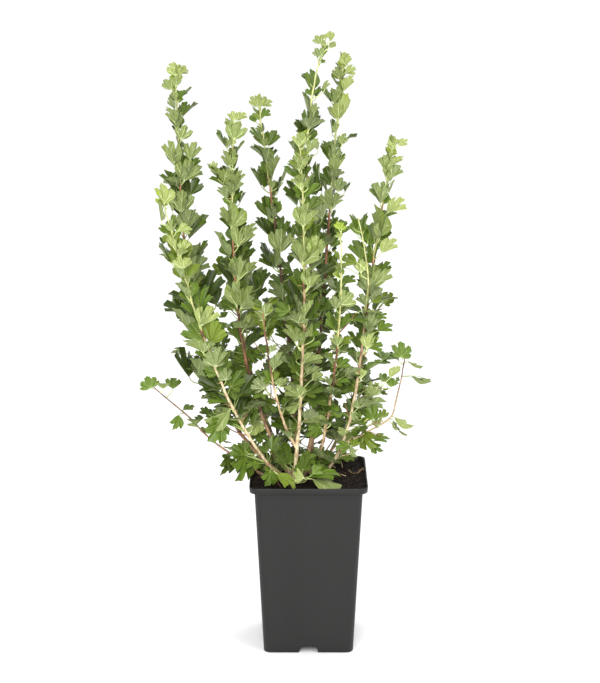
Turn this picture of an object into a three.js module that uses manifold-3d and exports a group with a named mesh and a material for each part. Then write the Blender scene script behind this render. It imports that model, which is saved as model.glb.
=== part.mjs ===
// Gooseberry bush in a deep square nursery pot.
// Millimetres, +Z up. The origin is the centre of the pot's flat underside.
// -Y is the front of the bush, +X its right-hand side.
import * as THREE from 'three';
import { mergeVertices } from 'three/addons/utils/BufferGeometryUtils.js';
import Module from 'manifold-3d';

const wasm = await Module();
wasm.setup();

// ---------------------------------------------------------------- sizes
const GAP = 0.3;              // air left between pieces that touch

const RIM_WIDTH = 150;        // across the lip of the pot
const POT_HEIGHT = 225;
const BODY_TOP = 137;         // across the wall just under the lip
const BODY_FOOT = 115;        // across the wall at the ground
const WALL = 1.8;
const FLOOR = 2.5;
const LIP_HEIGHT = 8;         // over this much the wall stands further out, as the lip
const CORNER = 10;            // plan radius of the upright corners
const LIP_CORNER = 12;        // and of the lip's
const NOTCH_FOOT = 25;        // drain notch in the middle of each foot edge
const NOTCH_TOP = 20;
const NOTCH_HEIGHT = 8;
const NOTCH_DEPTH = 24;       // each notch runs this far in under the floor
const DRAIN = 9;              // round hole through the roof of each notch

const SOIL_LEVEL = 217;       // flat middle of the compost, where the stems are cut
const SOIL_EDGE = 216;        // compost against the wall
const SOIL_FLAT = 44;         // radius of the flat middle

const STEM_SIDES = 8;
const STEM_STEP = 18;         // length of one stem segment
const MASS_SIDES = 9;
const MASS_RINGS = 10;
const MASS_CLEAR = 2.4;       // air between two masses of leaves
const STEM_CLEAR = 3.0;       // air between a mass and a stem that passes it

// One row for each shoot that rises from the foot of the bush:
//   foot    x, y where it leaves the compost, or fork: the shoot it forks from and the height
//   lean    the handle that sets how it leaves the foot
//   rise    the handle that sets how it arrives at its tip
//   tip     the topmost leaf
//   r       radius of the wood at the foot and at the tip
//   bare    height to which the stem is bare
//   tiers   how many masses of leaves it carries, one above the other
//   leaf    reach of the leaves from the stem, low down and at the tip
const SHOOTS = {
  left_back:         { foot: [-27, 11], lean: [-187, 36, 321], rise: [-155, 62, 564], tip: [-171, 75, 743], r: [3.6, 1.2], bare: 292, tiers: 3, leaf: [36, 16] },
  left_front:        { foot: [-27, -13], lean: [-108, -45, 300], rise: [-141, -78, 454], tip: [-180, -95, 608], r: [3.0, 1.1], bare: 312, tiers: 2, leaf: [33, 16] },
  mid_left:          { foot: [-18, 0], lean: [-104, -14, 358], rise: [-96, -28, 515], tip: [-93, -35, 692], r: [3.2, 1.1], bare: 300, tiers: 3, leaf: [34, 17] },
  centre_left_back:  { foot: [-14, 21], lean: [-19, 50, 374], rise: [-44, 80, 538], tip: [-66, 95, 703], r: [3.0, 1.1], bare: 286, tiers: 3, leaf: [34, 14] },
  centre_front:      { foot: [-20, -22], lean: [-3, -46, 367], rise: [-3, -72, 516], tip: [-11, -85, 675], r: [3.2, 1.2], bare: 304, tiers: 3, leaf: [33, 17] },
  centre_tall:       { foot: [-7, 7], lean: [40, 12, 398], rise: [-41, 17, 601], tip: [24, 20, 787], r: [3.4, 1.1], bare: 290, tiers: 3, leaf: [32, 15] },
  centre_right_back: { foot: [1, 20], lean: [17, 51, 391], rise: [27, 84, 576], tip: [45, 100, 755], r: [3.4, 1.1], bare: 288, tiers: 3, leaf: [34, 15] },
  right:             { foot: [8, -8], lean: [75, -17, 277], rise: [52, -26, 373], tip: [105, -30, 662], r: [3.4, 1.2], bare: 304, tiers: 3, leaf: [33, 18] },
  inner_right:       { foot: [6, 6], lean: [30, -26, 305], rise: [45, -59, 451], tip: [38, -75, 562], r: [2.3, 1.0], bare: 296, tiers: 2, leaf: [28, 17] },
  inner_left:        { fork: ['centre_front', 262], lean: [-34, -38, 296], rise: [-48, -54, 350], tip: [-58, -60, 462], r: [1.9, 1.0], bare: 322, tiers: 1, leaf: [27, 17] },
  back_left:         { foot: [-24, 27], lean: [-50, 60, 260], rise: [-88, 128, 330], tip: [-100, 140, 470], r: [2.4, 1.0], bare: 280, tiers: 1, leaf: [31, 18] },
  back_right:        { foot: [10, 25], lean: [50, 62, 262], rise: [80, 128, 330], tip: [92, 142, 462], r: [2.4, 1.0], bare: 280, tiers: 1, leaf: [31, 18] },
};

// Weak side branches.
//   from/to  the two ends (or fork: the shoot and the height), bow the middle handle, r the radii of the wood
const BRANCHES = {
  left_lateral:      { from: [-35, -4, SOIL_LEVEL], bow: [-66, -12, 225], to: [-84, -18, 238], r: [1.9, 1.7], footed: true },
  left_lateral_end:  { from: [-128, -30, 286], bow: [-146, -33, 310], to: [-167, -36, 328], r: [1.5, 1.2] },
  right_lateral:     { fork: ['right', 262], bow: [60, -4, 270], to: [70, 6, 277], r: [2.0, 1.8] },
  right_lateral_end: { from: [118, 46, 304], bow: [119, 49, 326], to: [124, 51, 348], r: [1.4, 1.1] },
};

// Masses on the side branches and low down round the foot.
//   from/to the ends of the axis, reach across it, flat the thickness as a share of the reach
const LOW_MASSES = {
  leaves_left_lateral_low:   { from: [-86, -18, 246], to: [-124, -28, 282], reach: 27, flat: 0.8 },
  leaves_left_lateral_tip:   { from: [-169, -36, 337], to: [-213, -41, 355], reach: 21, flat: 0.42 },
  leaves_right_lateral_low:  { from: [70, 6, 280], to: [116, 42, 292], reach: 22, flat: 0.75 },
  leaves_right_lateral_tip:  { from: [114, 50, 368], to: [161, 58, 350], reach: 21, flat: 0.5 },
  leaves_right_side:         { from: [72, -44, 500], to: [56, -53, 574], reach: 18, flat: 1 },
  leaves_foot_front:         { from: [-62, -52, 238], to: [34, -56, 236], reach: 21, flat: 0.38 },
  leaves_foot_back:          { from: [-26, 62, 246], to: [24, 64, 246], reach: 21, flat: 0.5 },
};

// ---------------------------------------------------------------- materials
const finish = {
  plastic: { color: 0x3f3e3c, roughness: 0.5, metalness: 0 },
  compost: { color: 0x2a1c12, roughness: 0.95, metalness: 0 },
  bark:    { color: 0x9a7448, roughness: 0.75, metalness: 0 },
  leaf:    { color: 0x4f7f34, roughness: 0.6, metalness: 0 },
};
const material = (kind, name) => {
  const m = new THREE.MeshStandardMaterial(finish[kind]);
  m.name = name;
  return m;
};

// ---------------------------------------------------------------- solids
const bare = (geometry) => {
  geometry.deleteAttribute('normal');
  geometry.deleteAttribute('uv');
  return mergeVertices(geometry, 1e-4);
};

const toSolid = (geometry) => {
  const g = bare(geometry);
  return new wasm.Manifold(new wasm.Mesh({
    numProp: 3,
    vertProperties: Float32Array.from(g.attributes.position.array),
    triVerts: Uint32Array.from(g.index.array),
  }));
};

const toGeometry = (solid) => {
  const mesh = solid.getMesh();
  const g = new THREE.BufferGeometry();
  g.setAttribute('position', new THREE.BufferAttribute(Float32Array.from(mesh.vertProperties), 3));
  g.setIndex(new THREE.BufferAttribute(Uint32Array.from(mesh.triVerts), 1));
  return g;
};

// A repeatable number between 0 and 1 from two whole numbers.
const chance = (a, b) => {
  const s = Math.sin(a * 127.1 + b * 311.7 + 17.3) * 43758.5453;
  return s - Math.floor(s);
};

// ---------------------------------------------------------------- pot
const roundedSquare = (width, corner) => {
  const h = width / 2;
  const s = new THREE.Shape();
  s.moveTo(-h + corner, -h);
  s.lineTo(h - corner, -h);
  s.absarc(h - corner, -h + corner, corner, -Math.PI / 2, 0, false);
  s.lineTo(h, h - corner);
  s.absarc(h - corner, h - corner, corner, 0, Math.PI / 2, false);
  s.lineTo(-h + corner, h);
  s.absarc(-h + corner, h - corner, corner, Math.PI / 2, Math.PI, false);
  s.lineTo(-h, -h + corner);
  s.absarc(-h + corner, -h + corner, corner, Math.PI, Math.PI * 1.5, false);
  return s;
};

// An upright rounded-square block from z0 to z1 whose width runs from w0 to w1.
const taperedBlock = (w0, w1, z0, z1, corner) => {
  const g = new THREE.ExtrudeGeometry(roundedSquare(w1, corner), {
    depth: z1 - z0, bevelEnabled: false, curveSegments: 4,
  });
  const p = g.attributes.position;
  for (let i = 0; i < p.count; i++) {
    const f = p.getZ(i) / (z1 - z0);
    const k = (w0 + (w1 - w0) * f) / w1;
    p.setXYZ(i, p.getX(i) * k, p.getY(i) * k, z0 + p.getZ(i));
  }
  return toSolid(g);
};

const wallWidth = (z) => BODY_FOOT + (BODY_TOP - BODY_FOOT) * (z / (POT_HEIGHT - LIP_HEIGHT));

// The trapezium of a drain notch, run in from the front edge; turned to each side.
const notchBlock = (grow, side) => {
  const s = new THREE.Shape();
  const foot = NOTCH_FOOT / 2 + grow;
  const top = NOTCH_TOP / 2 + grow;
  s.moveTo(-foot, -1 - grow);
  s.lineTo(foot, -1 - grow);
  s.lineTo(top, NOTCH_HEIGHT + grow);
  s.lineTo(-top, NOTCH_HEIGHT + grow);
  const start = grow > 0 ? BODY_FOOT / 2 - WALL / 2 : BODY_FOOT / 2 + 6;
  const end = BODY_FOOT / 2 - NOTCH_DEPTH - grow;
  const g = new THREE.ExtrudeGeometry(s, { depth: start - end, bevelEnabled: false });
  g.rotateX(Math.PI / 2);
  g.translate(0, -end, 0);
  g.rotateZ(side * Math.PI / 2);
  return g;
};

const drainBlock = (side) => {
  const g = new THREE.CylinderGeometry(DRAIN / 2, DRAIN / 2, 12, 10);
  g.rotateX(Math.PI / 2);
  g.translate(0, -(BODY_FOOT / 2 - NOTCH_DEPTH * 0.62), NOTCH_HEIGHT);
  g.rotateZ(side * Math.PI / 2);
  return g;
};

const lipFoot = POT_HEIGHT - LIP_HEIGHT;

const makePot = () => {
  const lipWidth = (z) => RIM_WIDTH - 1.5 + (1.5 * (z - lipFoot)) / LIP_HEIGHT;
  const lip = taperedBlock(lipWidth(lipFoot), lipWidth(POT_HEIGHT), lipFoot, POT_HEIGHT, LIP_CORNER);
  let pot = taperedBlock(BODY_FOOT, wallWidth(POT_HEIGHT - 3), 0, POT_HEIGHT - 3, CORNER).add(lip);
  const inner = (z) => wallWidth(z) - 2 * WALL;
  let hollow = taperedBlock(inner(FLOOR), inner(POT_HEIGHT + 4), FLOOR, POT_HEIGHT + 4, CORNER - WALL);
  for (let side = 0; side < 4; side++) hollow = hollow.subtract(toSolid(notchBlock(WALL, side)));
  // the ledge inside the lip is as thick as the wall
  const step = taperedBlock(lipWidth(lipFoot + WALL) - 2 * WALL, lipWidth(POT_HEIGHT + 4) - 2 * WALL, lipFoot + WALL, POT_HEIGHT + 4, LIP_CORNER - WALL);
  pot = pot.subtract(hollow).subtract(step);
  for (let side = 0; side < 4; side++) {
    pot = pot.subtract(toSolid(notchBlock(0, side))).subtract(toSolid(drainBlock(side)));
  }
  return toGeometry(pot);
};

// ---------------------------------------------------------------- compost
// A lathe turned to the plan of the pot: each ring is stretched from a circle to the rounded square.
const planRadius = (width, corner, angle) => {
  const h = width / 2;
  const c = Math.abs(Math.cos(angle));
  const s = Math.abs(Math.sin(angle));
  const flat = h / Math.max(c, s);
  const k = h - corner;
  const b = k * (c + s);
  const arc = b + Math.sqrt(Math.max(0, b * b - 2 * k * k + corner * corner));
  const x = flat * c;
  const y = flat * s;
  return x > k && y > k ? arc : flat;
};

const makeSoil = () => {
  const inside = WALL + GAP;
  const bottom = FLOOR + GAP;
  const profile = [[0, SOIL_LEVEL], [SOIL_FLAT / 2, SOIL_LEVEL], [SOIL_FLAT, SOIL_LEVEL], [57, -1], [1000, SOIL_EDGE], [1000, 110], [1000, bottom], [0, bottom]];
  const g = new THREE.LatheGeometry(profile.map(([r, z]) => new THREE.Vector2(r, z)).reverse(), 28);
  g.rotateX(Math.PI / 2);
  const p = g.attributes.position;
  for (let i = 0; i < p.count; i++) {
    const x = p.getX(i);
    const y = p.getY(i);
    const r = Math.hypot(x, y);
    let z = p.getZ(i);
    const a = Math.atan2(y, x);
    const turn = Math.round((a / Math.PI) * 14 + 28) % 28;
    if (z < 0) z = (SOIL_LEVEL + SOIL_EDGE) / 2 + 2.2 * (chance(turn, 3) - 0.5);
    let k = 1;
    if (r > 900) {
      if (z === SOIL_EDGE) z += 2.4 * (chance(turn, 9) - 0.5);
      k = planRadius(wallWidth(z) - 2 * inside, CORNER - inside, a) / r;
    } else if (r > SOIL_FLAT + 4) {
      k = (SOIL_FLAT * 0.45 + planRadius(wallWidth(z) - 2 * inside, CORNER - inside, a) * 0.55) / r;
    }
    p.setXYZ(i, x * k, y * k, z);
  }
  let soil = toSolid(g);
  for (let side = 0; side < 4; side++) soil = soil.subtract(toSolid(notchBlock(WALL + GAP, side)));
  return toGeometry(soil);
};

// ---------------------------------------------------------------- limbs
const v3 = (a) => new THREE.Vector3(...a);

// A tapering limb: a capped cylinder drawn along a curve. A footed limb starts on a level cut.
const limb = (curve, t0, t1, r0, r1, footed) => {
  const length = curve.getLength() * (t1 - t0);
  const steps = Math.max(3, Math.round(length / STEM_STEP));
  const g = new THREE.CylinderGeometry(1, 1, 1, STEM_SIDES, steps);
  g.rotateX(Math.PI / 2);
  const p = g.attributes.position;
  for (let i = 0; i < p.count; i++) {
    const f = p.getZ(i) + 0.5;
    const t = t0 + (t1 - t0) * f;
    const at = curve.getPoint(t);
    const axis = curve.getTangent(t);
    if (footed && f < 1e-6) axis.set(0, 0, 1);
    const side = new THREE.Vector3(0, 1, 0).cross(axis).normalize();
    const ahead = axis.clone().cross(side).normalize();
    const r = r0 + (r1 - r0) * f;
    // the wood swells a little where it leaves the compost
    const flare = footed ? 1 + 0.35 * Math.exp(-f * length / 9) : 1;
    at.addScaledVector(side, p.getX(i) * r * flare).addScaledVector(ahead, p.getY(i) * r * flare);
    p.setXYZ(i, at.x, at.y, at.z);
  }
  return bare(g);
};

// ---------------------------------------------------------------- layout of limbs and masses
const limbs = [];
const masses = [];

// the parameter at which a rising curve reaches a height
const atHeight = (curve, z) => {
  let lo = 0;
  let hi = 1;
  for (let i = 0; i < 40; i++) {
    const mid = (lo + hi) / 2;
    if (curve.getPoint(mid).z < z) lo = mid; else hi = mid;
  }
  return (lo + hi) / 2;
};

// where a limb of radius r starts, clear of the side of the shoot that it forks from
const forkPoint = ([parent, z], towards, r) => {
  const l = limbs.find((o) => o.name === `stem_${parent}`);
  const t = atHeight(l.curve, z);
  const at = l.curve.getPoint(t);
  const dir = v3(towards).sub(at).normalize();
  const cos = Math.abs(dir.dot(l.curve.getTangent(t)));
  const wood = l.r0 + (l.r1 - l.r0) * (t / l.t1);
  return at.addScaledVector(dir, (wood + GAP + r * cos) / Math.sqrt(1 - cos * cos));
};

for (const [name, s] of Object.entries(SHOOTS)) {
  const foot = s.fork ? forkPoint(s.fork, s.lean, s.r[0]) : v3([...s.foot, SOIL_LEVEL + GAP]);
  const curve = new THREE.CubicBezierCurve3(foot, v3(s.lean), v3(s.rise), v3(s.tip));
  const t = atHeight(curve, s.bare);
  const rTop = s.r[0] + (s.r[1] - s.r[0]) * t;
  limbs.push({ name: `stem_${name}`, curve, t0: 0, t1: t, r0: s.r[0], r1: rTop, footed: !s.fork });
  const labels = { 1: ['leaves'], 2: ['low_leaves', 'top_leaves'], 3: ['low_leaves', 'middle_leaves', 'top_leaves'] }[s.tiers];
  const share = { 1: [0, 1], 2: [0, 0.5, 1], 3: [0, 0.3, 0.62, 1] }[s.tiers];
  const startGap = 0.5 / curve.getLength();
  labels.forEach((label, i) => {
    const a = t + (1 - t) * share[i];
    const b = t + (1 - t) * share[i + 1];
    const reach = (f) => s.leaf[0] + (s.leaf[1] - s.leaf[0]) * Math.pow(f, 0.8);
    masses.push({
      name: `${label}_${name}`,
      shoot: name,
      at: (u) => curve.getPoint(a + startGap * 2 + (b - a - startGap * 3) * u),
      reach: [reach(share[i]), reach(share[i + 1])],
      flat: 1,
      first: i === 0,
      last: i === labels.length - 1,
    });
  });
}

for (const [name, b] of Object.entries(BRANCHES)) {
  const from = b.fork ? forkPoint(b.fork, b.bow, b.r[0]) : v3(b.from);
  if (b.footed) from.z += GAP;
  const curve = new THREE.QuadraticBezierCurve3(from, v3(b.bow), v3(b.to));
  limbs.push({ name: `branch_${name}`, curve, t0: 0, t1: 1, r0: b.r[0], r1: b.r[1], footed: !!b.footed });
}

for (const [name, m] of Object.entries(LOW_MASSES)) {
  const from = v3(m.from);
  const to = v3(m.to);
  masses.push({
    name,
    at: (u) => from.clone().lerp(to, u),
    reach: [m.reach, m.reach],
    flat: m.flat,
    first: true,
    last: true,
  });
}

// points along each mass's axis and each limb, to keep the masses clear of one another
masses.forEach((m) => {
  m.axis = [];
  for (let i = 0; i <= 24; i++) {
    const u = i / 24;
    m.axis.push({ p: m.at(u), r: m.reach[0] + (m.reach[1] - m.reach[0]) * u });
  }
});
limbs.forEach((l) => {
  l.axis = [];
  const n = 40;
  for (let i = 0; i <= n; i++) {
    const f = i / n;
    l.axis.push({ p: l.curve.getPoint(l.t0 + (l.t1 - l.t0) * f), r: l.r0 + (l.r1 - l.r0) * f });
  }
});

// how deep a point lies in a mass: 0 on its axis, 1 at the reach of its leaves
const depth = (m, p) => {
  let best = Infinity;
  for (const a of m.axis) {
    const d = Math.hypot(p.x - a.p.x, p.y - a.p.y, (p.z - a.p.z) / m.flat) / a.r;
    if (d < best) best = d;
  }
  return best;
};
const gapToLimb = (l, p) => {
  let best = Infinity;
  for (const a of l.axis) best = Math.min(best, p.distanceTo(a.p) - a.r);
  return best;
};

const lipTop = POT_HEIGHT + 1.5;
const clear = (m, p, own, r) => {
  for (const o of masses) {
    if (o === m || (m.shoot && o.shoot === m.shoot)) continue;
    if (depth(o, p) < own + (2 * MASS_CLEAR) / (r + 12)) return false;
  }
  for (const l of limbs) if (gapToLimb(l, p) < STEM_CLEAR) return false;
  if (p.z < lipTop) return false;
  return true;
};

// One mass: a sphere drawn out along its axis, lumpy all round, and drawn in where a neighbour or a stem is near.
const leafMass = (m, index) => {
  const g = new THREE.SphereGeometry(1, MASS_SIDES, MASS_RINGS);
  g.rotateX(Math.PI / 2);
  const p = g.attributes.position;
  const seen = new Map();
  const length = m.at(0).distanceTo(m.at(1));
  for (let i = 0; i < p.count; i++) {
    const lat = Math.acos(Math.max(-1, Math.min(1, p.getZ(i))));       // 0 at the far end, pi at the near one
    const ring = Math.round((lat / Math.PI) * MASS_RINGS);
    const turn = Math.round((Math.atan2(p.getY(i), p.getX(i)) / (2 * Math.PI)) * MASS_SIDES + MASS_SIDES) % MASS_SIDES;
    const pole = ring === 0 || ring === MASS_RINGS;
    const key = pole ? `p${ring}` : `${ring},${turn}`;
    if (!seen.has(key)) {
      const f = 1 - ring / MASS_RINGS;
      // the ends are blunt, so that stacked masses nearly meet: the outer rings lie close to them
      const u = pole ? f : 0.03 + 0.94 * ((f * MASS_RINGS - 1) / (MASS_RINGS - 2));
      const at = m.at(u);
      const step = 0.01;
      const axis = m.at(Math.min(1, u + step)).sub(m.at(Math.max(0, u - step))).normalize();
      const side = new THREE.Vector3(0, 1, 0.02).cross(axis).normalize();
      const ahead = axis.clone().cross(side).normalize();
      if (pole) {
        seen.set(key, at);
      } else {
        const blunt = Math.pow(Math.sin(Math.PI * f), m.last && f > 0.5 ? 0.6 : 0.24);
        const angle = (2 * Math.PI * turn) / MASS_SIDES + index * 0.7;
        // the leaves stand in tiers, each leaning out to its own side
        const tier = 1 + 0.26 * Math.cos(angle - 2.4 * ring - index) + (ring % 2 ? 0.09 : -0.09);
        const dir = side.multiplyScalar(Math.cos(angle)).addScaledVector(ahead, Math.sin(angle));
        dir.z *= m.flat;
        const lump = tier * (0.82 + 0.30 * chance(index * 31 + ring, turn));
        const full = (m.reach[0] + (m.reach[1] - m.reach[0]) * u) * blunt * lump;
        let r = full;
        let q = at.clone().addScaledVector(dir, r);
        for (let n = 0; n < 60 && r > 0.5; n++) {
          q = at.clone().addScaledVector(dir, r);
          if (clear(m, q, depth(m, q), r)) break;
          r *= 0.94;
        }
        seen.set(key, q);
      }
    }
    const q = seen.get(key);
    p.setXYZ(i, q.x, q.y, q.z);
  }
  m.length = length;
  return bare(g);
};

// ---------------------------------------------------------------- the plant
const plant = new THREE.Group();
plant.name = 'gooseberry_bush';

const add = (name, geometry, kind) => {
  const mesh = new THREE.Mesh(geometry, material(kind, kind));
  mesh.name = name;
  plant.add(mesh);
};

add('pot', makePot(), 'plastic');
add('compost', makeSoil(), 'compost');
for (const l of limbs) add(l.name, limb(l.curve, l.t0, l.t1, l.r0, l.r1, l.footed), 'bark');
masses.forEach((m, i) => add(m.name, leafMass(m, i + 1), 'leaf'));

export default plant;
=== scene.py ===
import math

import bpy
import numpy as np
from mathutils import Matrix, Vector


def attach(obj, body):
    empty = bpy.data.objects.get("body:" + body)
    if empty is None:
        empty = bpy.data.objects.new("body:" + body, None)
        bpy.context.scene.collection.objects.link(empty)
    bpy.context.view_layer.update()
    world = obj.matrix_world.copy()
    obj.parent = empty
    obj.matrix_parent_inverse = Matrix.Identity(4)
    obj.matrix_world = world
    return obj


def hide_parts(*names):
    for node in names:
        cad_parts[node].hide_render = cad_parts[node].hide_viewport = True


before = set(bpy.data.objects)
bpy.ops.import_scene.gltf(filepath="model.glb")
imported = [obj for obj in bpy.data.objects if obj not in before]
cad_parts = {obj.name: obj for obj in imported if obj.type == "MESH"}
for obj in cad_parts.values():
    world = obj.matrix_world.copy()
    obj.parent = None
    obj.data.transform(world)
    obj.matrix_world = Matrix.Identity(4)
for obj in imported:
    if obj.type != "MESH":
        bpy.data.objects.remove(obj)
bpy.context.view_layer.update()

MM = 0.001
rng = np.random.default_rng(20406)

# ------------------------------------------------------------------ sizes, in millimetres, as in the frame
RIM_WIDTH = 150.0
POT_HEIGHT = 225.0
BODY_TOP = 137.0
BODY_FOOT = 115.0
WALL = 1.8
FLOOR = 2.5
LIP_HEIGHT = 8.0
CORNER = 10.0
LIP_CORNER = 12.0
NOTCH_FOOT = 25.0
NOTCH_TOP = 20.0
NOTCH_HEIGHT = 8.0
NOTCH_DEPTH = 24.0
DRAIN = 9.0
SOIL_LEVEL = 217.0
SOIL_EDGE = 216.0
SOIL_FLAT = 44.0
DEEPEST = 160.0  # no leaf of the far side reaches further back

# shoots: curve from the compost to the tip, wood at foot and tip, height where the leaves close up,
# how shaded, and the wood's age by the photo's height (0 pale green, .45 salmon, .65 red-brown, .85 tan, 1 straw)
SHOOTS = {
    "left_back": dict(c=[(-27, 11, 212), (-187, 36, 321), (-155, 62, 564), (-171, 75, 743)], r=(2.6, 0.85), bare=296, big=33, shade=0.5,
                      age=[(65, 0), (150, 0.05), (180, 0.42), (215, 0.46), (240, 0.60), (285, 0.48), (330, 0.66), (365, 0.52), (420, 0.78), (470, 0.9)]),
    "left_front": dict(c=[(-27, -13, 212), (-108, -45, 300), (-141, -78, 454), (-180, -95, 608)], r=(2.2, 0.8), bare=300, big=33, shade=0.1,
                       age=[(180, 0), (260, 0.04), (320, 0.10), (340, 0.92), (360, 0.97), (400, 1.0), (470, 0.96)]),
    "mid_left": dict(c=[(-18, 0, 212), (-104, -14, 358), (-96, -28, 515), (-93, -35, 692)], r=(2.55, 0.85), bare=300, big=33, shade=0.3,
                     age=[(110, 0), (200, 0.04), (228, 0.10), (236, 0.44), (280, 0.50), (310, 0.60), (335, 0.66), (360, 0.50), (400, 0.80), (470, 0.9)]),
    "centre_left_back": dict(c=[(-14, 21, 212), (-19, 50, 374), (-44, 80, 538), (-66, 95, 703)], r=(2.5, 0.85), bare=280, big=30, shade=0.6,
                             age=[(95, 0), (170, 0.12), (200, 0.50), (230, 0.70), (350, 0.72), (400, 0.80), (470, 0.9)]),
    # centre_front: from the photo's height 292 down its tan wood is set a little paler than its own tan, painted light
    # where the leaves shade it
    "centre_front": dict(c=[(-20, -22, 212), (-3, -46, 367), (-3, -72, 516), (-11, -85, 675)], r=(2.7, 0.85), bare=305, big=34, shade=0.1,
                         age=[(130, 0), (240, 0.03), (275, 0.12), (292, 0.92), (350, 0.95), (400, 0.97), (470, 0.98)]),
    "centre_tall": dict(c=[(-7, 7, 212), (40, 12, 398), (-41, 17, 601), (24, 20, 787)], r=(2.8, 0.9), bare=285, big=33, shade=0.5,
                        age=[(30, 0), (130, 0.06), (180, 0.40), (200, 0.52), (260, 0.66), (350, 0.72), (400, 0.82), (470, 0.9)]),
    "centre_right_back": dict(c=[(1, 20, 212), (17, 51, 391), (27, 84, 576), (45, 100, 755)], r=(2.7, 0.9), bare=285, big=31, shade=0.4,
                              age=[(50, 0), (190, 0.06), (208, 0.44), (235, 0.62), (262, 0.50), (290, 0.70), (350, 0.72), (410, 0.84), (470, 0.9)]),
    "right": dict(c=[(8, -8, 212), (75, -17, 277), (52, -26, 373), (105, -30, 662)], r=(2.2, 0.85), bare=300, big=32, shade=0.2,
                  age=[(135, 0), (195, 0.05), (208, 0.46), (222, 0.10), (255, 0.14), (268, 0.84), (300, 0.52), (330, 0.84), (400, 0.96), (470, 0.97)]),
    "inner_right": dict(c=[(6, 6, 212), (30, -26, 305), (45, -59, 451), (38, -75, 562)], r=(2.1, 0.75), bare=300, big=25, shade=0.3,
                        age=[(225, 0), (300, 0.08), (330, 0.14), (352, 0.60), (372, 0.56), (392, 0.90), (470, 0.9)]),
    "inner_left": dict(c=[(-14, -30, 263), (-34, -38, 296), (-48, -54, 350), (-58, -60, 462)], r=(1.8, 0.8), bare=322, big=26, shade=0.5,
                       age=[(290, 0.1), (318, 0.5), (350, 0.60), (380, 0.90), (430, 0.95)]),
    "back_left": dict(c=[(-24, 27, 212), (-50, 60, 260), (-88, 128, 330), (-100, 140, 470)], r=(2.4, 0.8), bare=262, big=30, shade=0.5,
                      age=[(300, 0), (340, 0.2), (370, 0.5), (420, 0.7), (470, 0.9)]),
    "back_right": dict(c=[(10, 25, 212), (50, 62, 262), (80, 128, 330), (92, 142, 462)], r=(2.4, 0.8), bare=262, big=30, shade=0.5,
                       age=[(300, 0), (340, 0.2), (370, 0.5), (420, 0.7), (470, 0.9)]),
}
# thinner wood, as points it passes through
LIMBS = {
    "left_lateral": dict(p=[(-35, -4, 211), (-50, -5, 218), (-72.5, -8, 232), (-88, -12, 244), (-103, -18, 257), (-122, -22, 272.5), (-139, -26, 291), (-150, -29, 304.5), (-162, -31, 316), (-181, -34.5, 333.5), (-194, -37, 346)], r=(1.6, 0.75), age=[(380, 0.78), (400, 0.74), (470, 0.86)]),
    "right_lateral": dict(p=[(40.5, -12.5, 258), (53, -10, 269), (68.5, -4, 276), (85.5, 8, 281.5), (99, 22, 285.5), (109, 34, 292), (113, 41, 304.5), (116.5, 45, 319.5), (120.5, 48, 335), (122.5, 50, 348), (125, 51, 362)], r=(1.55, 0.7), age=[(350, 0.50), (375, 0.86), (420, 0.92), (450, 0.97)]),
    "right_side": dict(p=[(70, -26, 440), (74, -36, 475), (72, -44, 502), (66, -50, 540), (60, -53, 566)], r=(1.3, 0.7), age=[(225, 0), (300, 0.15)]),
    "right_spur": dict(p=[(56.0, -19.5, 318), (67.8, -15, 327), (79.4, -10, 333.7), (92.3, -4, 337.4)], r=(1.1, 0.65), age=[(380, 0.7), (404, 0.84)]),
    "right_whip_a": dict(p=[(46.6, -12.0, 266.9), (62.0, -6.0, 278.5), (77.5, 0.0, 286.1), (94.4, 6.0, 291.1)], r=(0.9, 0.5), age=[(380, 0.3), (450, 0.46)]),
    "right_whip_b": dict(p=[(51.6, -14.0, 283.4), (65.6, -14.0, 291.3), (79.6, -12.0, 302.6), (88.4, -12.0, 310.5)], r=(0.8, 0.5), age=[(380, 0.1), (450, 0.3)]),
    "right_whip_c": dict(p=[(66.0, -3.0, 280.3), (79.0, 2.0, 277.6), (93.3, 6.0, 271.1)], r=(0.7, 0.45), age=[(380, 0.5), (450, 0.5)]),
    "stick_red": dict(p=[(-31, -34, 208), (-40, -40, 224), (-52, -46, 240)], r=(0.9, 0.5), age=[(400, 0.62), (480, 0.62)]),
    "stick_dark_a": dict(p=[(4, -14, 208), (10, -8, 236), (16, -4, 262)], r=(1.3, 0.9), age=[(400, 0.74), (480, 0.72)]),
    "stick_dark_b": dict(p=[(13, -4, 240), (22, 2, 252), (33, 6, 268)], r=(1.0, 0.7), age=[(400, 0.74), (480, 0.72)]),
    "stick_tan": dict(p=[(-27.6, -8.0, 225.8), (-31.2, -8.0, 231.1), (-41.0, -12.0, 244.3), (-51.0, -16.0, 258.0)], r=(0.85, 0.5), age=[(440, 0.80), (480, 0.84)]),
    "stick_left": dict(p=[(-54.2, -34.0, 224.3), (-64.3, -36.0, 233.5), (-72.8, -38.0, 242.0)], r=(0.6, 0.4), age=[(440, 0.70), (480, 0.72)]),
    "stick_right": dict(p=[(10.9, -10.0, 222.3), (22.2, -8.0, 234.3), (31.5, -4.0, 240.2), (41.9, 2.0, 245.0), (54.6, 8.0, 247.0), (64.0, 12.0, 252.0)], r=(1.35, 0.8), age=[(440, 0.93), (480, 0.97)]),
    "bit_right": dict(p=[(36.7, 0.0, 242.9), (39.9, 3.0, 239.9), (42.8, 6.0, 234.3), (43.9, 8.0, 228.2)], r=(0.55, 0.4), age=[(440, 0.90), (480, 0.90)]),
    "bit_lying": dict(p=[(35.4, 21.0, 217.6), (40.9, 11.1, 218.4), (48.3, 4.8, 218.0)], r=(0.7, 0.5), age=[(440, 0.95), (480, 0.95)]),
}

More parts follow.
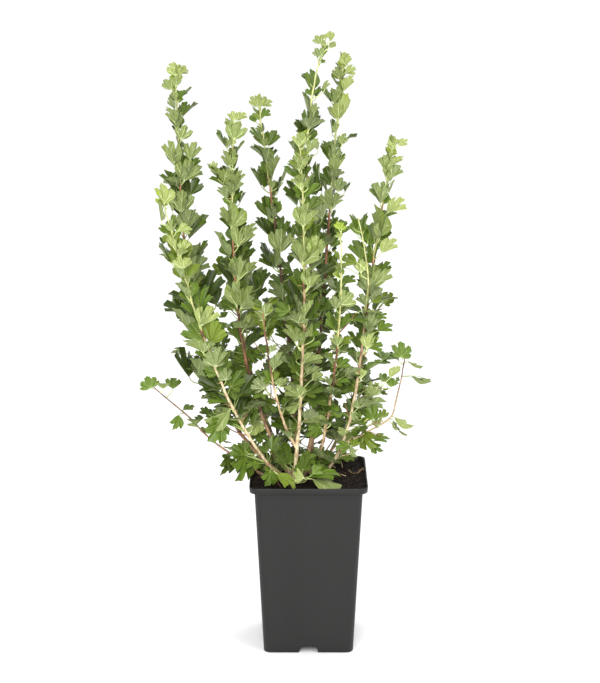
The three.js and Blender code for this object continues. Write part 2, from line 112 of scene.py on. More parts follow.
# Leaves that stand out singly in the photo, by the wood they grow on. In the photo's pixels: where the blade meets its stalk,
# where its middle lobe ends; how wide it looks for its length; side seen (u under, o upper); tint from 0 lime to 4 deep;
# and, where it matters, how many millimetres further off (+) or nearer (-) than its wood it lies.
SEEN = {
    "left_back": [
        (180, 76, 186, 66, 0.5, "u", 0), (183, 96, 192, 87, 0.25, "o", 3), (188, 229, 197, 209, 0.65, "u", 3), (202, 364, 194, 356, 0.4, "o", 4), (222, 353, 225, 341, 0.9, "o", 4),
        (176, 76, 174, 62, 1.0, "u", 0), (178, 74, 189, 71, 0.5, "u", 0), (179, 73, 181, 65, 0.6, "u", 0), (176, 86, 178, 76, 1.1, "u", 1),
        (172, 90, 164, 80, 0.95, "u", 1), (175, 100, 172, 91, 0.8, "u", 1), (180, 98, 187, 90, 0.7, "o", 2), (175, 109, 168, 98, 0.4, "u", 2),
        (183, 116, 187, 101, 0.75, "o", 3), (184, 115, 198, 103, 0.45, "o", 4), (175, 123, 166, 107, 0.7, "u", 1), (178, 122, 179, 110, 0.7, "u", 2), (181, 140, 186, 125, 1.2, "u", 1),
        (181, 129, 182, 118, 0.5, "o", 3), (175, 131, 172, 125, 0.6, "o", 4), (179, 149, 176, 135, 0.45, "o", 3), (174, 164, 168, 141, 0.85, "u", 1),
        (178, 163, 182, 147, 0.6, "u", 2), (190, 160, 197, 142, 0.9, "u", 1), (184, 181, 191, 160, 1.1, "u", 1), (186, 178, 203, 167, 0.55, "u", 2), (193, 168, 199, 157, 0.9, "o", 3), (180, 181, 177, 163, 0.55, "u", 2),
        (174, 191, 163, 169, 0.55, "o", 3), (176, 190, 171, 177, 0.55, "o", 4), (190, 195, 198, 177, 0.95, "o", 4), (188, 193, 184, 181, 0.7, "o", 4), (181, 213, 183, 190, 1.1, "u", 1),
        (172, 212, 170, 200, 0.4, "u", 1), (186, 231, 192, 210, 0.9, "u", 2), (189, 239, 209, 215, 0.28, "o", 3), (192, 268, 200, 244, 0.5, "u", 2), (199, 257, 208, 240, 0.4, "o", 3),
        (192, 272, 208, 258, 0.75, "u", 2), (186, 258, 189, 245, 0.9, "o", 2), (189, 279, 187, 265, 0.7, "o", 3), (194, 281, 202, 270, 0.8, "u", 2),
        (163, 244, 163, 236, 1.0, "o", 4), (200, 305, 203, 279, 0.75, "o", 3), (203, 300, 217, 270, 0.85, "o", 4), (216, 305, 214, 285, 1.0, "o", 4),
        (195, 291, 205, 276, 0.3, "u", 0), (188, 303, 167, 294, 0.3, "o", 4), (187, 312, 163, 304, 0.5, "o", 4), (191, 334, 172, 308, 0.42, "u", 2),
        (196, 329, 188, 309, 0.7, "u", 3), (197, 339, 192, 323, 0.6, "o", 4), (214, 338, 216, 316, 1.1, "o", 2), (205, 386, 190, 358, 0.7, "u", 2),
        (189, 377, 179, 347, 0.45, "o", 4), (207, 390, 204, 382, 0.9, "o", 4), (221, 396, 205, 392, 0.6, "o", 2),
    ],
    "left_front": [
        (208, 414, 200, 408, 0.9, "o", 4),
        (164, 204, 161, 183, 0.9, "u", 0), (169, 205, 168, 193, 0.7, "u", 0), (161, 221, 158, 200, 0.32, "u", 1), (166, 234, 160, 224, 0.9, "o", 2),
        (172, 232, 173, 219, 0.8, "u", 1), (174, 248, 167, 235, 0.7, "u", 0), (178, 231, 193, 230, 0.65, "u", 0), (170, 262, 158, 242, 0.2, "o", 3),
        (182, 252, 188, 240, 0.7, "u", 0), (182, 269, 178, 256, 1.1, "u", 0), (184, 268, 191, 258, 0.8, "u", 0), (188, 298, 181, 281, 0.55, "u", 1), (186, 296, 176, 283, 0.35, "u", 2), (181, 279, 173, 266, 0.2, "u", 2),
        (202, 352, 182, 340, 0.65, "u", 1), (203, 353, 202, 337, 0.95, "u", 1), (204, 352, 216, 343, 0.7, "u", 2), (201, 326, 213, 306, 0.9, "u", 0), (199, 325, 197, 303, 0.5, "u", 1), (216, 367, 221, 346, 1.1, "u", 2),
        (226, 380, 227, 367, 1.0, "u", 2), (228, 402, 205, 395, 0.45, "o", 2), (231, 409, 203, 420, 0.72, "u", 1), (221, 423, 207, 441, 1.0, "o", 2),
        (213, 413, 201, 411, 0.55, "o", 4), (246, 455, 231, 447, 1.0, "o", 2), (246, 456, 235, 481, 0.85, "o", 2), (247, 457, 230, 463, 0.5, "o", 2),
        (262, 463, 251, 465, 0.8, "o", 1), (245, 450, 242, 440, 0.9, "o", 3), (234, 424, 219, 421, 0.5, "o", 2), (238, 428, 227, 420, 0.6, "o", 3),
    ],
    "mid_left": [
        (228, 312, 217, 316, 0.5, "o", 4),
        (218, 179, 206, 163, 0.35, "o", 1), (227, 190, 212, 172, 0.25, "o", 3), (258, 300, 263, 266, 0.35, "o", 4),
        (234, 121, 232, 111, 1.1, "u", 0), (237, 121, 247, 114, 0.45, "u", 0), (229, 127, 225, 118, 0.8, "u", 1), (234, 140, 240, 121, 1.12, "u", 1),
        (227, 148, 224, 136, 0.7, "u", 2), (226, 147, 216, 130, 0.25, "o", 3), (236, 153, 245, 141, 0.25, "o", 2), (234, 153, 234, 145, 0.8, "o", 3),
        (230, 167, 223, 150, 0.9, "u", 1), (233, 165, 236, 149, 0.6, "u", 1), (224, 180, 222, 165, 0.4, "o", 4), (223, 185, 211, 166, 0.45, "u", 1),
        (214, 168, 213, 161, 1.2, "u", 0), (226, 180, 227, 166, 0.9, "u", 2), (237, 180, 239, 166, 0.65, "o", 3), (236, 187, 233, 172, 0.9, "u", 1),
        (237, 186, 243, 170, 0.55, "u", 1), (227, 199, 217, 187, 0.5, "u", 2), (230, 198, 229, 186, 0.6, "o", 4), (236, 204, 240, 187, 0.6, "o", 3),
        (240, 203, 246, 192, 0.2, "o", 4), (231, 228, 230, 200, 1.0, "u", 1), (231, 231, 219, 213, 0.55, "o", 3), (238, 229, 244, 208, 0.45, "o", 3), (242, 233, 247, 222, 0.6, "o", 3),
        (238, 247, 250, 225, 0.85, "u", 1), (245, 238, 257, 223, 0.45, "u", 1), (229, 258, 214, 231, 0.3, "u", 2), (232, 262, 226, 252, 0.5, "o", 3), (241, 261, 253, 240, 0.85, "o", 4),
        (238, 279, 249, 255, 1.0, "u", 1), (247, 272, 258, 262, 0.6, "u", 1), (238, 276, 239, 258, 0.6, "u", 2), (232, 284, 220, 259, 0.6, "o", 4), (237, 306, 240, 281, 1.0, "u", 1), (241, 307, 254, 286, 0.7, "u", 1),
        (236, 306, 226, 288, 0.8, "u", 1), (241, 309, 255, 298, 1.1, "u", 2), (262, 284, 267, 268, 0.7, "o", 4), (256, 299, 264, 283, 0.7, "o", 4), (230, 307, 219, 302, 0.7, "o", 4),
        (244, 329, 269, 311, 0.55, "u", 1), (238, 340, 230, 322, 0.6, "o", 3), (247, 348, 262, 330, 0.4, "o", 4), (222, 343, 226, 331, 0.8, "o", 4),
        (231, 358, 236, 344, 0.15, "o", 4), (244, 361, 233, 350, 1.0, "o", 3), (245, 375, 228, 364, 1.1, "o", 2), (243, 391, 259, 376, 0.55, "u", 0),
        (240, 401, 228, 384, 0.9, "o", 3), (246, 352, 258, 362, 0.8, "o", 3), (247, 350, 264, 357, 0.5, "o", 2), (250, 397, 247, 419, 1.1, "o", 2),
        (262, 400, 279, 410, 0.9, "o", 3), (261, 421, 243, 430, 0.8, "u", 0), (254, 434, 270, 442, 0.8, "o", 3), (244, 408, 255, 402, 0.9, "o", 2),
    ],
    "centre_left_back": [
        (285, 293, 289, 282, 0.8, "o", 3),
        (258, 107, 250, 97, 0.8, "u", 0), (259, 106, 258, 95, 0.9, "u", 0), (261, 106, 273, 102, 0.65, "u", 0), (260, 106, 267, 97, 0.7, "u", 0),
        (262, 116, 270, 110, 0.9, "o", 2), (257, 114, 252, 107, 0.3, "u", 2), (256, 122, 249, 116, 0.9, "o", 2), (261, 132, 262, 122, 0.5, "o", 3),
        (261, 140, 250, 127, 0.55, "o", 2), (269, 146, 277, 130, 0.9, "o", 3), (266, 162, 253, 144, 0.45, "u", 2), (268, 165, 274, 146, 0.5, "o", 4),
        (272, 178, 274, 151, 0.22, "u", 1), (264, 188, 259, 169, 0.62, "o", 3), (261, 186, 250, 167, 0.15, "o", 3), (268, 183, 267, 170, 0.5, "o", 4), (272, 189, 268, 178, 0.6, "u", 1),
        (276, 193, 275, 179, 0.7, "o", 3), (278, 192, 284, 175, 0.3, "o", 4), (283, 181, 288, 168, 0.12, "u", 1), (268, 217, 264, 195, 0.85, "o", 3), (270, 216, 273, 196, 0.9, "o", 2),
        (274, 214, 275, 201, 0.6, "o", 4), (272, 239, 255, 217, 0.42, "o", 4), (276, 241, 270, 223, 0.5, "o", 4), (282, 236, 284, 215, 0.9, "o", 3),
        (280, 253, 282, 229, 1.1, "u", 1), (289, 239, 296, 225, 0.6, "o", 3), (273, 267, 260, 242, 0.36, "o", 4), (272, 267, 260, 254, 0.8, "o", 3),
        (276, 266, 277, 248, 0.6, "u", 2), (290, 263, 296, 250, 0.7, "o", 4), (284, 286, 269, 276, 0.85, "o", 3), (284, 281, 284, 273, 0.5, "o", 4), (283, 299, 268, 283, 0.7, "u", 2),
        (293, 273, 283, 262, 0.6, "o", 3), (300, 307, 290, 288, 0.8, "o", 3), (277, 309, 262, 301, 0.4, "o", 4), (282, 311, 279, 300, 0.7, "o", 3), (282, 327, 276, 311, 1.0, "o", 3),
        (268, 336, 262, 325, 0.9, "o", 2), (285, 339, 275, 330, 0.7, "o", 3), (296, 346, 288, 332, 0.5, "o", 4), (262, 353, 260, 344, 1.1, "o", 3),
        (297, 373, 281, 353, 1.0, "o", 3), (282, 366, 263, 381, 0.9, "o", 3), (257, 392, 266, 383, 0.7, "o", 4), (292, 429, 270, 418, 0.8, "o", 2),
        (293, 430, 283, 443, 0.8, "o", 4), (290, 458, 266, 447, 0.6, "o", 2, -22), (284, 397, 288, 407, 0.9, "o", 4), (291, 411, 277, 416, 0.6, "o", 4),
    ],
    "centre_front": [
        (299, 147, 298, 133, 1.0, "u", 0), (304, 145, 304, 133, 0.9, "u", 1), (306, 145, 312, 141, 0.6, "u", 0), (299, 154, 294, 144, 0.8, "o", 3),
        (296, 152, 288, 141, 0.2, "o", 3), (299, 171, 293, 155, 1.0, "u", 1), (298, 180, 283, 166, 0.55, "o", 2), (309, 153, 319, 139, 0.4, "u", 1),
        (303, 165, 309, 155, 0.6, "u", 1), (304, 181, 307, 163, 0.6, "o", 3), (301, 190, 300, 180, 1.1, "u", 0), (299, 200, 286, 180, 0.9, "o", 4),
        (297, 206, 284, 190, 0.3, "o", 3), (308, 188, 315, 172, 0.2, "u", 1), (309, 210, 318, 196, 1.0, "o", 3), (303, 227, 309, 203, 1.05, "u", 1),
        (304, 226, 319, 212, 0.7, "u", 1), (301, 239, 297, 219, 0.55, "o", 3), (309, 238, 308, 226, 0.9, "o", 4), (302, 265, 304, 236, 0.95, "u", 1),
        (303, 262, 295, 242, 0.5, "u", 1), (317, 235, 314, 220, 0.6, "o", 3), (316, 257, 317, 235, 0.65, "u", 0), (322, 254, 322, 243, 0.6, "u", 1), (308, 286, 311, 266, 0.75, "u", 1),
        (309, 288, 321, 275, 0.75, "u", 1), (301, 291, 293, 271, 0.7, "o", 3), (308, 303, 316, 287, 0.8, "o", 3), (305, 316, 314, 300, 0.45, "u", 1),
        (299, 320, 291, 308, 0.7, "o", 3), (300, 337, 291, 314, 0.65, "o", 3), (298, 346, 298, 323, 0.3, "u", 1), (295, 343, 284, 324, 0.6, "u", 1),
        (312, 323, 314, 312, 0.5, "o", 4), (314, 337, 313, 323, 0.75, "u", 1), (306, 349, 319, 336, 0.7, "o", 2), (300, 397, 284, 387, 0.9, "u", 1),
        (299, 404, 284, 408, 0.7, "u", 1), (303, 363, 324, 358, 0.65, "u", 1), (306, 372, 317, 367, 0.9, "o", 4), (312, 380, 323, 374, 0.9, "u", 1),
        (306, 394, 322, 383, 0.9, "o", 3), (296, 360, 297, 348, 0.8, "o", 3), (296, 372, 289, 360, 0.8, "o", 3), (303, 470, 306, 451, 1.0, "o", 3, -14),
        (304, 478, 293, 472, 1.0, "u", 0, -28), (270, 471, 264, 486, 0.95, "o", 2, -26), (277, 474, 295, 491, 0.6, "o", 1, -42), (309, 477, 341, 477, 0.5, "o", 2, -18),
        (312, 479, 342, 485, 0.28, "u", 1, -24), (313, 474, 322, 467, 1.1, "o", 2, -22), (299, 380, 291, 390, 0.9, "o", 3),
    ],
    "centre_tall": [
        (313, 316, 317, 303, 0.5, "o", 3),
        (330, 39, 330, 31, 1.1, "u", 0), (331, 41, 334, 33, 0.6, "u", 0), (325, 39, 321, 35, 0.8, "u", 0), (321, 44, 315, 36, 1.0, "u", 1), (325, 46, 323, 40, 0.8, "u", 1),
        (329, 48, 336, 43, 0.7, "u", 1), (320, 57, 315, 48, 1.1, "u", 2), (322, 56, 324, 48, 0.7, "u", 1), (321, 63, 326, 60, 0.9, "o", 3),
        (312, 90, 310, 68, 0.75, "o", 3), (309, 82, 301, 73, 0.6, "o", 3), (316, 98, 321, 86, 0.35, "o", 3), (324, 91, 329, 80, 0.35, "u", 1), (311, 121, 302, 91, 0.42, "o", 3),
        (314, 114, 316, 105, 0.7, "u", 1), (311, 134, 305, 108, 0.6, "o", 3), (303, 134, 295, 119, 0.55, "o", 4), (309, 134, 301, 119, 0.6, "o", 3),
        (313, 129, 321, 115, 0.8, "o", 4), (309, 138, 312, 131, 0.7, "o", 4), (321, 184, 316, 160, 0.2, "o", 3), (316, 195, 315, 183, 1.0, "o", 4),
        (322, 191, 320, 180, 0.7, "o", 4), (322, 219, 320, 201, 0.9, "u", 3), (319, 234, 316, 221, 0.9, "o", 3), (321, 269, 319, 257, 0.6, "o", 4),
        (309, 165, 309, 152, 0.7, "o", 3), (318, 150, 316, 141, 0.6, "u", 2), (314, 260, 318, 246, 0.5, "o", 3), (312, 425, 304, 434, 0.9, "o", 3),
    ],
    "centre_right_back": [
        (322, 318, 332, 309, 0.7, "o", 3),
        (329, 276, 337, 288, 0.5, "u", 3), (321, 316, 328, 305, 0.7, "o", 3), (333, 252, 337, 246, 0.6, "o", 4), (323, 230, 325, 217, 0.8, "o", 4),
        (346, 65, 345, 52, 0.75, "u", 0), (347, 64, 351, 56, 0.7, "u", 0), (340, 71, 335, 62, 0.3, "o", 3), (339, 79, 335, 67, 0.7, "u", 1),
        (345, 73, 356, 69, 0.7, "u", 0), (340, 88, 331, 74, 0.3, "o", 3), (343, 94, 341, 80, 0.6, "u", 1), (344, 91, 354, 76, 0.5, "u", 0),
        (331, 102, 322, 86, 0.3, "o", 2), (334, 103, 331, 88, 1.0, "u", 1), (339, 120, 349, 95, 0.65, "u", 0), (337, 120, 334, 102, 0.9, "u", 1),
        (332, 133, 332, 118, 0.3, "o", 3), (336, 133, 336, 122, 0.7, "u", 1), (342, 145, 346, 133, 0.85, "u", 1), (348, 138, 358, 134, 0.4, "o", 4),
        (328, 154, 322, 140, 0.5, "o", 3), (333, 161, 331, 143, 0.8, "u", 2), (336, 173, 341, 151, 0.6, "u", 1), (332, 186, 326, 166, 1.1, "o", 3),
        (338, 192, 342, 177, 1.0, "u", 2), (345, 192, 351, 182, 0.2, "o", 3), (332, 210, 331, 187, 1.0, "u", 1), (333, 218, 335, 209, 0.5, "o", 3),
        (334, 206, 345, 195, 0.6, "u", 1), (332, 224, 334, 217, 0.9, "o", 4), (337, 235, 347, 221, 0.95, "o", 2), (334, 236, 332, 226, 0.5, "o", 4), (331, 247, 338, 235, 1.0, "o", 2),
        (329, 269, 328, 250, 1.15, "o", 3), (331, 278, 341, 263, 0.8, "o", 2), (322, 301, 330, 283, 0.6, "o", 2), (321, 219, 324, 208, 0.8, "o", 3),
        (323, 291, 317, 281, 0.8, "o", 3), (318, 358, 332, 350, 0.9, "o", 3), (320, 371, 336, 360, 0.7, "o", 3), (318, 399, 329, 387, 0.8, "o", 3),
        (322, 344, 327, 335, 0.6, "o", 4), (327, 246, 324, 233, 0.8, "o", 3),
    ],
    "right": [
        (362, 313, 344, 306, 0.3, "o", 4), (362, 320, 357, 309, 0.8, "o", 3), (350, 424, 368, 423, 0.4, "o", 3),
        (392, 151, 389, 140, 0.7, "u", 0), (393, 147, 395, 136, 1.0, "u", 0), (398, 146, 408, 140, 0.7, "u", 0), (391, 142, 391, 134, 0.35, "u", 1),
        (390, 159, 385, 147, 0.3, "o", 2), (391, 158, 393, 149, 0.6, "u", 0), (385, 172, 383, 155, 0.6, "u", 1), (392, 166, 404, 157, 0.3, "u", 0),
        (390, 176, 388, 160, 0.8, "u", 1), (391, 178, 401, 166, 0.85, "u", 2), (391, 181, 393, 168, 0.6, "u", 1), (389, 193, 395, 180, 0.2, "u", 1),
        (385, 194, 383, 181, 0.9, "u", 1), (382, 203, 372, 184, 0.55, "u", 2), (387, 213, 405, 200, 0.5, "u", 0), (378, 238, 374, 204, 0.55, "u", 1),
        (380, 238, 384, 213, 0.4, "u", 1), (381, 240, 388, 227, 0.9, "o", 3), (374, 239, 373, 223, 0.6, "u", 3), (381, 253, 398, 240, 0.62, "u", 0), (390, 242, 396, 240, 0.5, "o", 4),
        (375, 263, 373, 240, 0.6, "o", 2), (371, 289, 374, 265, 1.2, "u", 1), (373, 286, 391, 270, 0.68, "u", 1), (370, 292, 360, 277, 0.85, "u", 2),
        (380, 275, 391, 262, 0.6, "o", 3), (371, 296, 383, 288, 0.9, "u", 3), (371, 302, 383, 296, 0.95, "o", 1), (375, 311, 391, 294, 0.15, "o", 3),
        (366, 306, 359, 294, 0.8, "u", 2), (368, 331, 375, 313, 0.9, "u", 2), (375, 318, 388, 314, 0.7, "o", 2), (378, 331, 394, 325, 0.75, "o", 2),
        (364, 331, 355, 321, 0.8, "o", 3), (367, 349, 374, 331, 1.0, "u", 0), (368, 348, 383, 345, 0.75, "o", 2), (357, 348, 347, 331, 0.5, "o", 4),
        (361, 349, 355, 336, 0.7, "o", 3), (356, 359, 348, 350, 0.8, "u", 2), (352, 412, 359, 419, 0.9, "u", 2), (350, 421, 343, 412, 0.6, "o", 3),
        (351, 446, 335, 450, 0.62, "o", 2, -16), (350, 446, 358, 457, 0.5, "u", 2, -19), (352, 447, 359, 439, 0.9, "o", 1, -8), (347, 430, 337, 431, 0.8, "u", 1), (346, 421, 330, 424, 0.5, "o", 4),
        (361, 379, 361, 368, 1.15, "u", 0), (361, 381, 370, 384, 0.4, "o", 4), (358, 408, 366, 398, 0.8, "u", 2),
        (373, 419, 370, 404, 1.15, "o", 3), (367, 371, 384, 361, 0.2, "o", 3), (362, 416, 356, 411, 0.9, "o", 3), (352, 437, 360, 432, 0.8, "o", 2),
    ],
    "right_side": [
        (358, 235, 359, 219, 1.15, "o", 2), (354, 228, 352, 213, 0.6, "o", 3), (364, 231, 368, 212, 0.4, "o", 3), (361, 260, 352, 240, 0.75, "o", 3),
        (368, 241, 366, 232, 0.7, "o", 2), (360, 246, 358, 240, 0.5, "o", 4), (357, 263, 342, 259, 0.9, "o", 1), (361, 273, 360, 259, 1.1, "u", 0),
        (346, 268, 338, 266, 0.8, "u", 2),
    ],
    "inner_right": [
        (334, 273, 345, 271, 0.9, "o", 1), (343, 284, 356, 276, 0.6, "o", 3), (341, 305, 353, 293, 1.2, "u", 1), (341, 302, 348, 296, 0.9, "u", 1),
        (336, 309, 332, 295, 0.8, "u", 2), (343, 306, 353, 301, 0.6, "o", 4), (338, 331, 333, 311, 0.5, "o", 2), (337, 331, 326, 318, 0.9, "o", 3),
        (341, 328, 350, 315, 0.6, "o", 3), (338, 346, 333, 334, 0.95, "u", 1), (340, 351, 346, 341, 0.9, "o", 3), (337, 368, 351, 360, 0.7, "o", 2),
        (335, 383, 349, 374, 0.9, "o", 2), (334, 395, 349, 384, 0.9, "o", 4), (323, 407, 344, 413, 0.6, "o", 2), (331, 414, 312, 416, 0.8, "o", 2),
        (330, 424, 304, 423, 0.5, "u", 1), (320, 427, 305, 435, 0.9, "o", 3), (330, 385, 324, 376, 0.8, "u", 2), (338, 372, 331, 362, 0.8, "o", 3),
    ],
    "inner_left": [
        (262, 306, 255, 300, 0.8, "o", 3), (265, 316, 273, 303, 0.9, "u", 2), (266, 330, 272, 318, 0.9, "o", 3), (270, 352, 277, 345, 0.8, "u", 2),
        (279, 386, 290, 378, 0.8, "u", 1), (270, 352, 257, 349, 0.8, "o", 3),
    ],
    "left_lateral": [
        (151, 388, 146, 376, 1.6, "o", 2), (163, 389, 163, 383, 2.6, "u", 1), (173, 389, 173, 378, 1.5, "o", 3), (183, 410, 195, 407, 0.5, "o", 3),
        (179, 415, 172, 430, 0.75, "o", 2, -8), (200, 419, 185, 418, 0.25, "u", 2), (199, 419, 194, 416, 0.7, "o", 4), (197, 427, 187, 425, 0.3, "u", 1),
        (228, 458, 220, 476, 0.85, "o", 3), (228, 452, 232, 461, 0.8, "o", 4), (222, 440, 232, 442, 0.4, "o", 3), (233, 447, 223, 446, 0.15, "u", 1),
        (208, 430, 200, 429, 0.8, "o", 3), (203, 417, 196, 419, 0.7, "o", 4), (225, 461, 229, 472, 0.7, "o", 4),
    ],
    "right_spur": [
        (382, 382, 386, 373, 1.2, "o", 3), (391, 387, 392, 378, 1.5, "o", 2), (374, 396, 371, 381, 1.2, "u", 1), (380, 389, 389, 394, 0.3, "o", 3), (383, 391, 389, 388, 0.4, "o", 3), (361, 407, 387, 402, 0.45, "u", 2), (390, 378, 401, 367, 0.6, "u", 0),
    ],
    "right_lateral": [
        (401, 357, 400, 341, 1.2, "o", 2), (399, 361, 389, 352, 0.3, "o", 3), (408, 361, 424, 366, 0.12, "u", 1), 
        (412, 376, 432, 379, 0.38, "u", 2), (421, 377, 432, 381, 0.3, "u", 2),
        (394, 417, 415, 426, 0.42, "u", 0), (393, 420, 401, 430, 0.4, "u", 3), (382, 418, 385, 409, 1.15, "o", 1), 
        (362, 433, 378, 447, 0.9, "o", 1),
        (374, 441, 391, 439, 0.5, "o", 2), (372, 442, 384, 451, 0.75, "o", 2), (379, 427, 376, 416, 1.0, "u", 1),
        (366, 436, 362, 444, 0.9, "o", 1), (399, 430, 408, 435, 0.12, "u", 1),
        (396, 381, 399, 376, 0.8, "o", 4), 
    ],
}


# Openings where the photo shows sky through or between the shoots, or bare compost: middle and half axes, in its
# pixels, traced.
SKY = [
    (312, 63, 5, 5), (323, 74, 5, 6), (303, 84, 3, 5), (321, 79, 3, 4), (324, 106, 6, 8), (322, 135, 9, 4), (348, 110, 5, 8), (347, 130, 5, 3), (168, 137, 6, 6),
    (187, 142, 3, 4), (186, 157, 2, 4), (268, 125, 4, 4), (247, 155, 4, 8), (212, 200, 6, 10), (249, 181, 3, 7), (256, 200, 4, 6), (289, 208, 5, 8), (281, 204, 2, 4),
    (199, 243, 3, 4), (214, 248, 7, 8), (208, 268, 4, 5), (224, 283, 4, 7), (194, 283, 2, 3), (371, 203, 4, 8), (392, 190, 3, 6), (395, 222, 4, 8), (391, 253, 7, 4),
    (401, 272, 8, 6), (393, 286, 6, 6), (396, 310, 10, 6), (346, 232, 4, 3), (343, 247, 3, 8), (314, 166, 3, 5), (315, 180, 2, 3), (269, 243, 2, 6), (258, 237, 7, 5),
    (275, 270, 4, 4), (286, 270, 2, 4), (285, 253, 3, 5), (270, 295, 9, 4), (262, 307, 3, 5), (229, 314, 5, 6), (177, 328, 6, 10), (188, 348, 6, 4), (188, 388, 7, 3),
    (205, 405, 7, 3), (231, 342, 4, 5), (248, 338, 5, 7), (237, 333, 1.5, 4), (253, 368, 4, 6), (262, 365, 4, 4), (258, 342, 5, 4), (266, 338, 3, 3), (278, 341, 6, 3),
    (295, 348, 3, 2.5), (313, 352, 2.5, 3), (322, 365, 3, 3), (328, 377, 4.5, 6), (287, 373, 2, 5), (281, 380, 2, 5), (269, 392, 8, 7), (276, 404, 4, 2.5),
    (307, 406, 2.5, 5), (338, 400, 6, 3), (348, 398, 3, 4), (344, 408, 4, 3), (336, 416, 4, 2), (259, 429, 3, 3), (269, 428, 6, 8), (288, 445, 4, 4), (308, 446, 3, 5),
    (330, 443, 5, 8), (330, 295, 4, 4), (343, 313, 4, 3), (351, 289, 5, 3), (353, 309, 4, 4), (349, 326, 4, 4), (354, 332, 3, 4), (344, 335, 2.5, 3), (329, 334, 4, 2.5),
    (330, 346, 6, 4), (343, 355, 4.5, 3), (354, 364, 2, 2), (373, 307, 3, 4), (349, 269, 3, 5), (335, 281, 3, 3), (388, 342, 5, 8), (372, 357, 5, 5), (380, 367, 6, 3),
    (197, 204, 3, 4), (348, 472, 9, 10), (340, 478, 6, 5), (208, 263, 3, 3), (190, 352, 4, 3), (235, 440, 3.5, 4), (375, 371, 4, 4), (175, 278, 2, 4), (292, 214, 2, 6),
    (228, 433, 6, 4), (366, 250, 1.5, 4), (293, 211, 2, 6), (323, 202, 3, 3), (340, 207, 4, 3), (160, 330, 10, 24), (200, 215, 5, 6), (410, 300, 12, 50),
    (283, 150, 5, 16), (210, 120, 14, 40), (362, 150, 10, 28), (140, 410, 18, 12), (425, 400, 12, 12), (226, 90, 18, 14), (385, 90, 30, 24),
]


# ------------------------------------------------------------------ the photo's camera, in millimetres
EYE = np.array([-10.9, -2500.0, 974.0])
TILT = math.radians(12.99)
FOCAL = 2021.0
RIGHT = np.array([1.0, 0.0, 0.0])
AHEAD = np.array([0.0, math.cos(TILT), -math.sin(TILT)])
ABOVE = np.array([0.0, math.sin(TILT), math.cos(TILT)])


def to_photo(p):
    d = np.atleast_2d(p) - EYE
    z = d @ AHEAD
    return np.stack([300 + FOCAL * (d @ RIGHT) / z, 341.5 - FOCAL * (d @ ABOVE) / z], -1)


def from_photo(px, py, y):
    """The point at depth y that the photo shows at px, py."""
    ray = AHEAD + RIGHT * (px - 300) / FOCAL + ABOVE * (341.5 - py) / FOCAL
    return EYE + ray * (y - EYE[1]) / ray[1]


# ------------------------------------------------------------------ mesh making
class Soup:
    """Points and faces gathered from many small things, made into one mesh at the end. mat is one number or one for each face."""

    def __init__(self):
        self.v, self.f3, self.m3, self.f4, self.m4, self.age = [], [], [], [], [], []
        self.n = 0

    def add(self, verts, tris=None, quads=None, mat=0, age=None):
        verts = np.asarray(verts, float).reshape(-1, 3)
        mat = np.atleast_1d(mat)
        used = 0
        for faces, to, mats in ((tris, self.f3, self.m3), (quads, self.f4, self.m4)):
            if faces is not None and len(faces):
                to.append(np.asarray(faces, int) + self.n)
                mats.append(np.full(len(faces), mat[0]) if len(mat) == 1 else mat[used : used + len(faces)])
                used += len(faces)
        self.v.append(verts)
        self.age.append(np.zeros(len(verts)) if age is None else np.broadcast_to(np.asarray(age, float), (len(verts),)))
        self.n += len(verts)

    def triangles(self):
        return sum(len(f) for f in self.f3) + 2 * sum(len(f) for f in self.f4)

    def build(self, name, materials, smooth=True, with_age=False):
        v = np.concatenate(self.v) * MM
        f3 = np.concatenate(self.f3) if self.f3 else np.zeros((0, 3), int)
        f4 = np.concatenate(self.f4) if self.f4 else np.zeros((0, 4), int)
        m = np.concatenate([np.concatenate(x) if x else np.zeros(0, int) for x in (self.m3, self.m4)])
        mesh = bpy.data.meshes.new(name)
        mesh.vertices.add(len(v))
        mesh.vertices.foreach_set("co", v.astype(np.float32).ravel())
        mesh.loops.add(len(f3) * 3 + len(f4) * 4)
        mesh.loops.foreach_set("vertex_index", np.concatenate([f3.ravel(), f4.ravel()]).astype(np.int32))
        mesh.polygons.add(len(f3) + len(f4))
        starts = np.concatenate([np.arange(len(f3)) * 3, len(f3) * 3 + np.arange(len(f4)) * 4]).astype(np.int32)
        mesh.polygons.foreach_set("loop_start", starts)
        mesh.polygons.foreach_set("material_index", m.astype(np.int32))
        mesh.polygons.foreach_set("use_smooth", np.full(len(m), smooth))
        for mat in materials:
            mesh.materials.append(mat)
        mesh.update(calc_edges=True)
        mesh.validate()
        if with_age:
            a = mesh.attributes.new("age", "FLOAT", "POINT")
            a.data.foreach_set("value", np.concatenate(self.age).astype(np.float32))
        o = bpy.data.objects.new(name, mesh)
        bpy.context.scene.collection.objects.link(o)
        return o


def unit(v):
    v = np.asarray(v, float)
    return v / (np.linalg.norm(v) + 1e-12)


def rotate(v, axis, angle):
    axis = unit(axis)
    v = np.asarray(v, float)
    return v * math.cos(angle) + np.cross(axis, v) * math.sin(angle) + axis * np.dot(axis, v) * (1 - math.cos(angle))


def bezier(c, t):
    c = np.asarray(c, float)
    t = np.atleast_1d(np.asarray(t, float))[:, None]
    return (1 - t) ** 3 * c[0] + 3 * (1 - t) ** 2 * t * c[1] + 3 * (1 - t) * t * t * c[2] + t**3 * c[3]


def through(points, per=12):
    """A smooth line through points."""
    p = np.asarray(points, float)
    q = np.vstack([2 * p[0] - p[1], p, 2 * p[-1] - p[-2]])
    out = []
    for i in range(1, len(q) - 2):
        t = np.linspace(0, 1, per, endpoint=False)[:, None]
        a, b, c, d = q[i - 1], q[i], q[i + 1], q[i + 2]
        out.append(0.5 * (2 * b + (c - a) * t + (2 * a - 5 * b + 4 * c - d) * t**2 + (3 * b - a - 3 * c + d) * t**3))
    return np.vstack(out + [p[-1:]])


